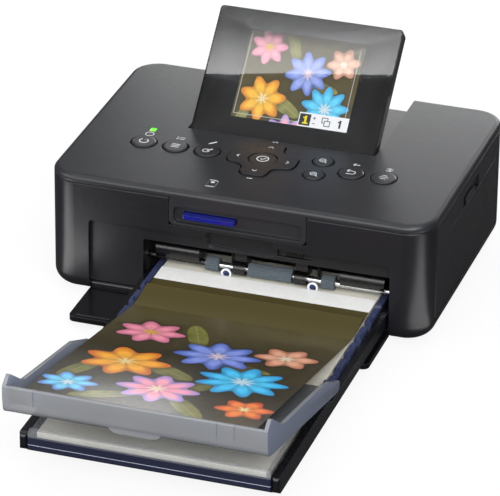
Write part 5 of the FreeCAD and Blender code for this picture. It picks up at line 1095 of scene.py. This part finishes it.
floor = plane("floor", size=FLOOR_SIZE, location=(0.0, 0.0, -FLOOR_DROP))
material, tree, shader = start_material("floor_white", Roughness=0.9)
plainly = seen_directly(tree)
mirrored = add(tree, "LightPath").outputs["Is Glossy Ray"]
paper = blend(tree, noise(tree, here(tree), 6.0), tone("f0f0f0"), tone("f8f8f8"))
feed(shader, "Base Color", blend(tree, plainly, tone("333335"), paper))
glow = add(tree, "Emission", {"Color": WHITE, "Strength": 1.0})
seen = calc(tree, "MAXIMUM", calc(tree, "MULTIPLY", plainly, FLOOR_GLOW),
            calc(tree, "MULTIPLY", mirrored, FLOOR_IN_GLOSS))
mixed = add(tree, "MixShader", {0: seen, 1: shader.outputs[0], 2: glow.outputs[0]})
tree.links.new(mixed.outputs[0], tree.nodes["Material Output"].inputs["Surface"])
floor.data.materials.append(material)
print("floor at z", round(floor.data.vertices[0].co.z / MM, 2), "mm")

# %% World
WORLD_LOW, WORLD_HIGH = 0.22, 0.14

world = bpy.data.worlds.new("studio")
bpy.context.scene.world = world
world.use_nodes = True
tree = world.node_tree
tree.nodes.clear()
height = split(tree, add(tree, "TexCoord").outputs["Generated"])["Z"]
strength = spread(tree, height, WORLD_LOW, WORLD_HIGH, 0.10, 0.75)
lit = add(tree, "Background", {"Color": WHITE, "Strength": strength})
white = add(tree, "Background", {"Color": WHITE, "Strength": 1.0})
mixed = add(tree, "MixShader", {0: seen_directly(tree), 1: lit.outputs[0], 2: white.outputs[0]})
tree.links.new(mixed.outputs[0], add(tree, "OutputWorld").inputs["Surface"])
print("world strength at the horizon", WORLD_LOW, "and overhead", WORLD_HIGH)

# %% [markdown]
# ## Lamps
#
# A large panel overhead is brightest along its front edge and shows in the tilted screen as a slanting
# line. It is a glowing mesh, because on a mesh a few nodes make one edge brighter.

# %% Panel overhead
PANEL_SIZE = (1.6, 1.4)
PANEL_TURN = math.radians(8.7)
PANEL_EDGE = Vector((-0.376, -0.478, 1.3))
PANEL_GLOW = ((0.0, 7.0), (0.02, 5.4), (0.04, 2.4), (0.06, 1.5), (0.10, 1.2))


def overhead_panel():
    """A glowing sheet whose front edge is brightest; glow goes by metres behind that edge."""
    back = Vector((-math.sin(PANEL_TURN), math.cos(PANEL_TURN), 0.0))
    side = Vector((math.cos(PANEL_TURN), math.sin(PANEL_TURN), 0.0))
    middle = PANEL_EDGE - side * side.dot(PANEL_EDGE) + back * PANEL_SIZE[1] / 2
    panel = plane("overhead_panel", scale=(*PANEL_SIZE, 1.0), location=middle,
                  rotation=(0.0, 0.0, PANEL_TURN))
    material, tree, _ = start_material("panel_glow")
    offset = from_point(tree, here(tree), PANEL_EDGE)
    behind = add(tree, "VectorMath", {0: offset, 1: back}, operation="DOT_PRODUCT").outputs["Value"]
    strength = PANEL_GLOW[0][1]
    for (near, bright), (far, dim) in zip(PANEL_GLOW, PANEL_GLOW[1:]):
        strength = calc(tree, "ADD", strength, spread(tree, behind, 0.0, dim - bright, near, far))
    glow = add(tree, "Emission", {"Color": WHITE, "Strength": strength})
    tree.links.new(glow.outputs[0], tree.nodes["Material Output"].inputs["Surface"])
    panel.data.materials.append(material)
    panel.visible_camera = False
    return panel


print("panel hangs at", [round(v, 2) for v in overhead_panel().data.vertices[0].co], "m")

# %% [markdown]
# A lamp low behind the printer sends its light along the top. Two narrow lamps lie on the floor beside
# the printer, where its rounded corners mirror them as soft upright lights. A lamp at the front right
# lights the print, a weaker one at the left fills the shade inside the lids, and a low one reaches
# under the lip of the tray, to the paper in the cassette.

# %% Lamps
def softbox(name, place, target, size, power, turn):
    """A rectangular lamp that looks at a target, turned about the upright axis in degrees."""
    data = bpy.data.lights.new(name, "AREA")
    data.shape, data.size, data.size_y, data.energy = "RECTANGLE", size[0], size[1], power
    lamp = new_object(name, data)
    way = (Vector(target) - Vector(place)).to_track_quat("-Z", "Y").to_matrix().to_4x4()
    lamp.matrix_world = Matrix.Translation(place) @ Matrix.Rotation(math.radians(turn), 4, "Z") @ way
    lamp.visible_camera = False
    return lamp


LAMPS = (
    # name, place, target, width and height, watts, turn
    ("rear_sheen", (0.0, 0.45, 0.145), (-0.02, 0.10, 0.06), (0.42, 0.11), 0.62, 0.0),
    ("right_strip", (0.14, -0.004, 0.001), (0.14, -0.004, 1.0), (0.10, 0.045), 0.034, -25.0),
    ("left_strip", (-0.13, -0.028, 0.001), (-0.13, -0.028, 1.0), (0.10, 0.045), 0.056, 33.0),
    ("front_right", (0.9, -1.1, 1.2), (0.0, 0.0, 0.03), (1.1, 1.1), 21.0, 0.0),
    ("left_fill", (-1.2, -0.9, 0.8), (0.0, -0.1, 0.03), (0.9, 0.9), 10.0, 0.0),
    ("front_low", (0.1, -1.6, 0.7), (0.0, -0.05, 0.03), (1.7, 1.0), 23.0, 0.0),
)
for row in LAMPS:
    softbox(*row)
bpy.context.scene.view_settings.view_transform = "Standard"
print("lamps:", len(LAMPS))
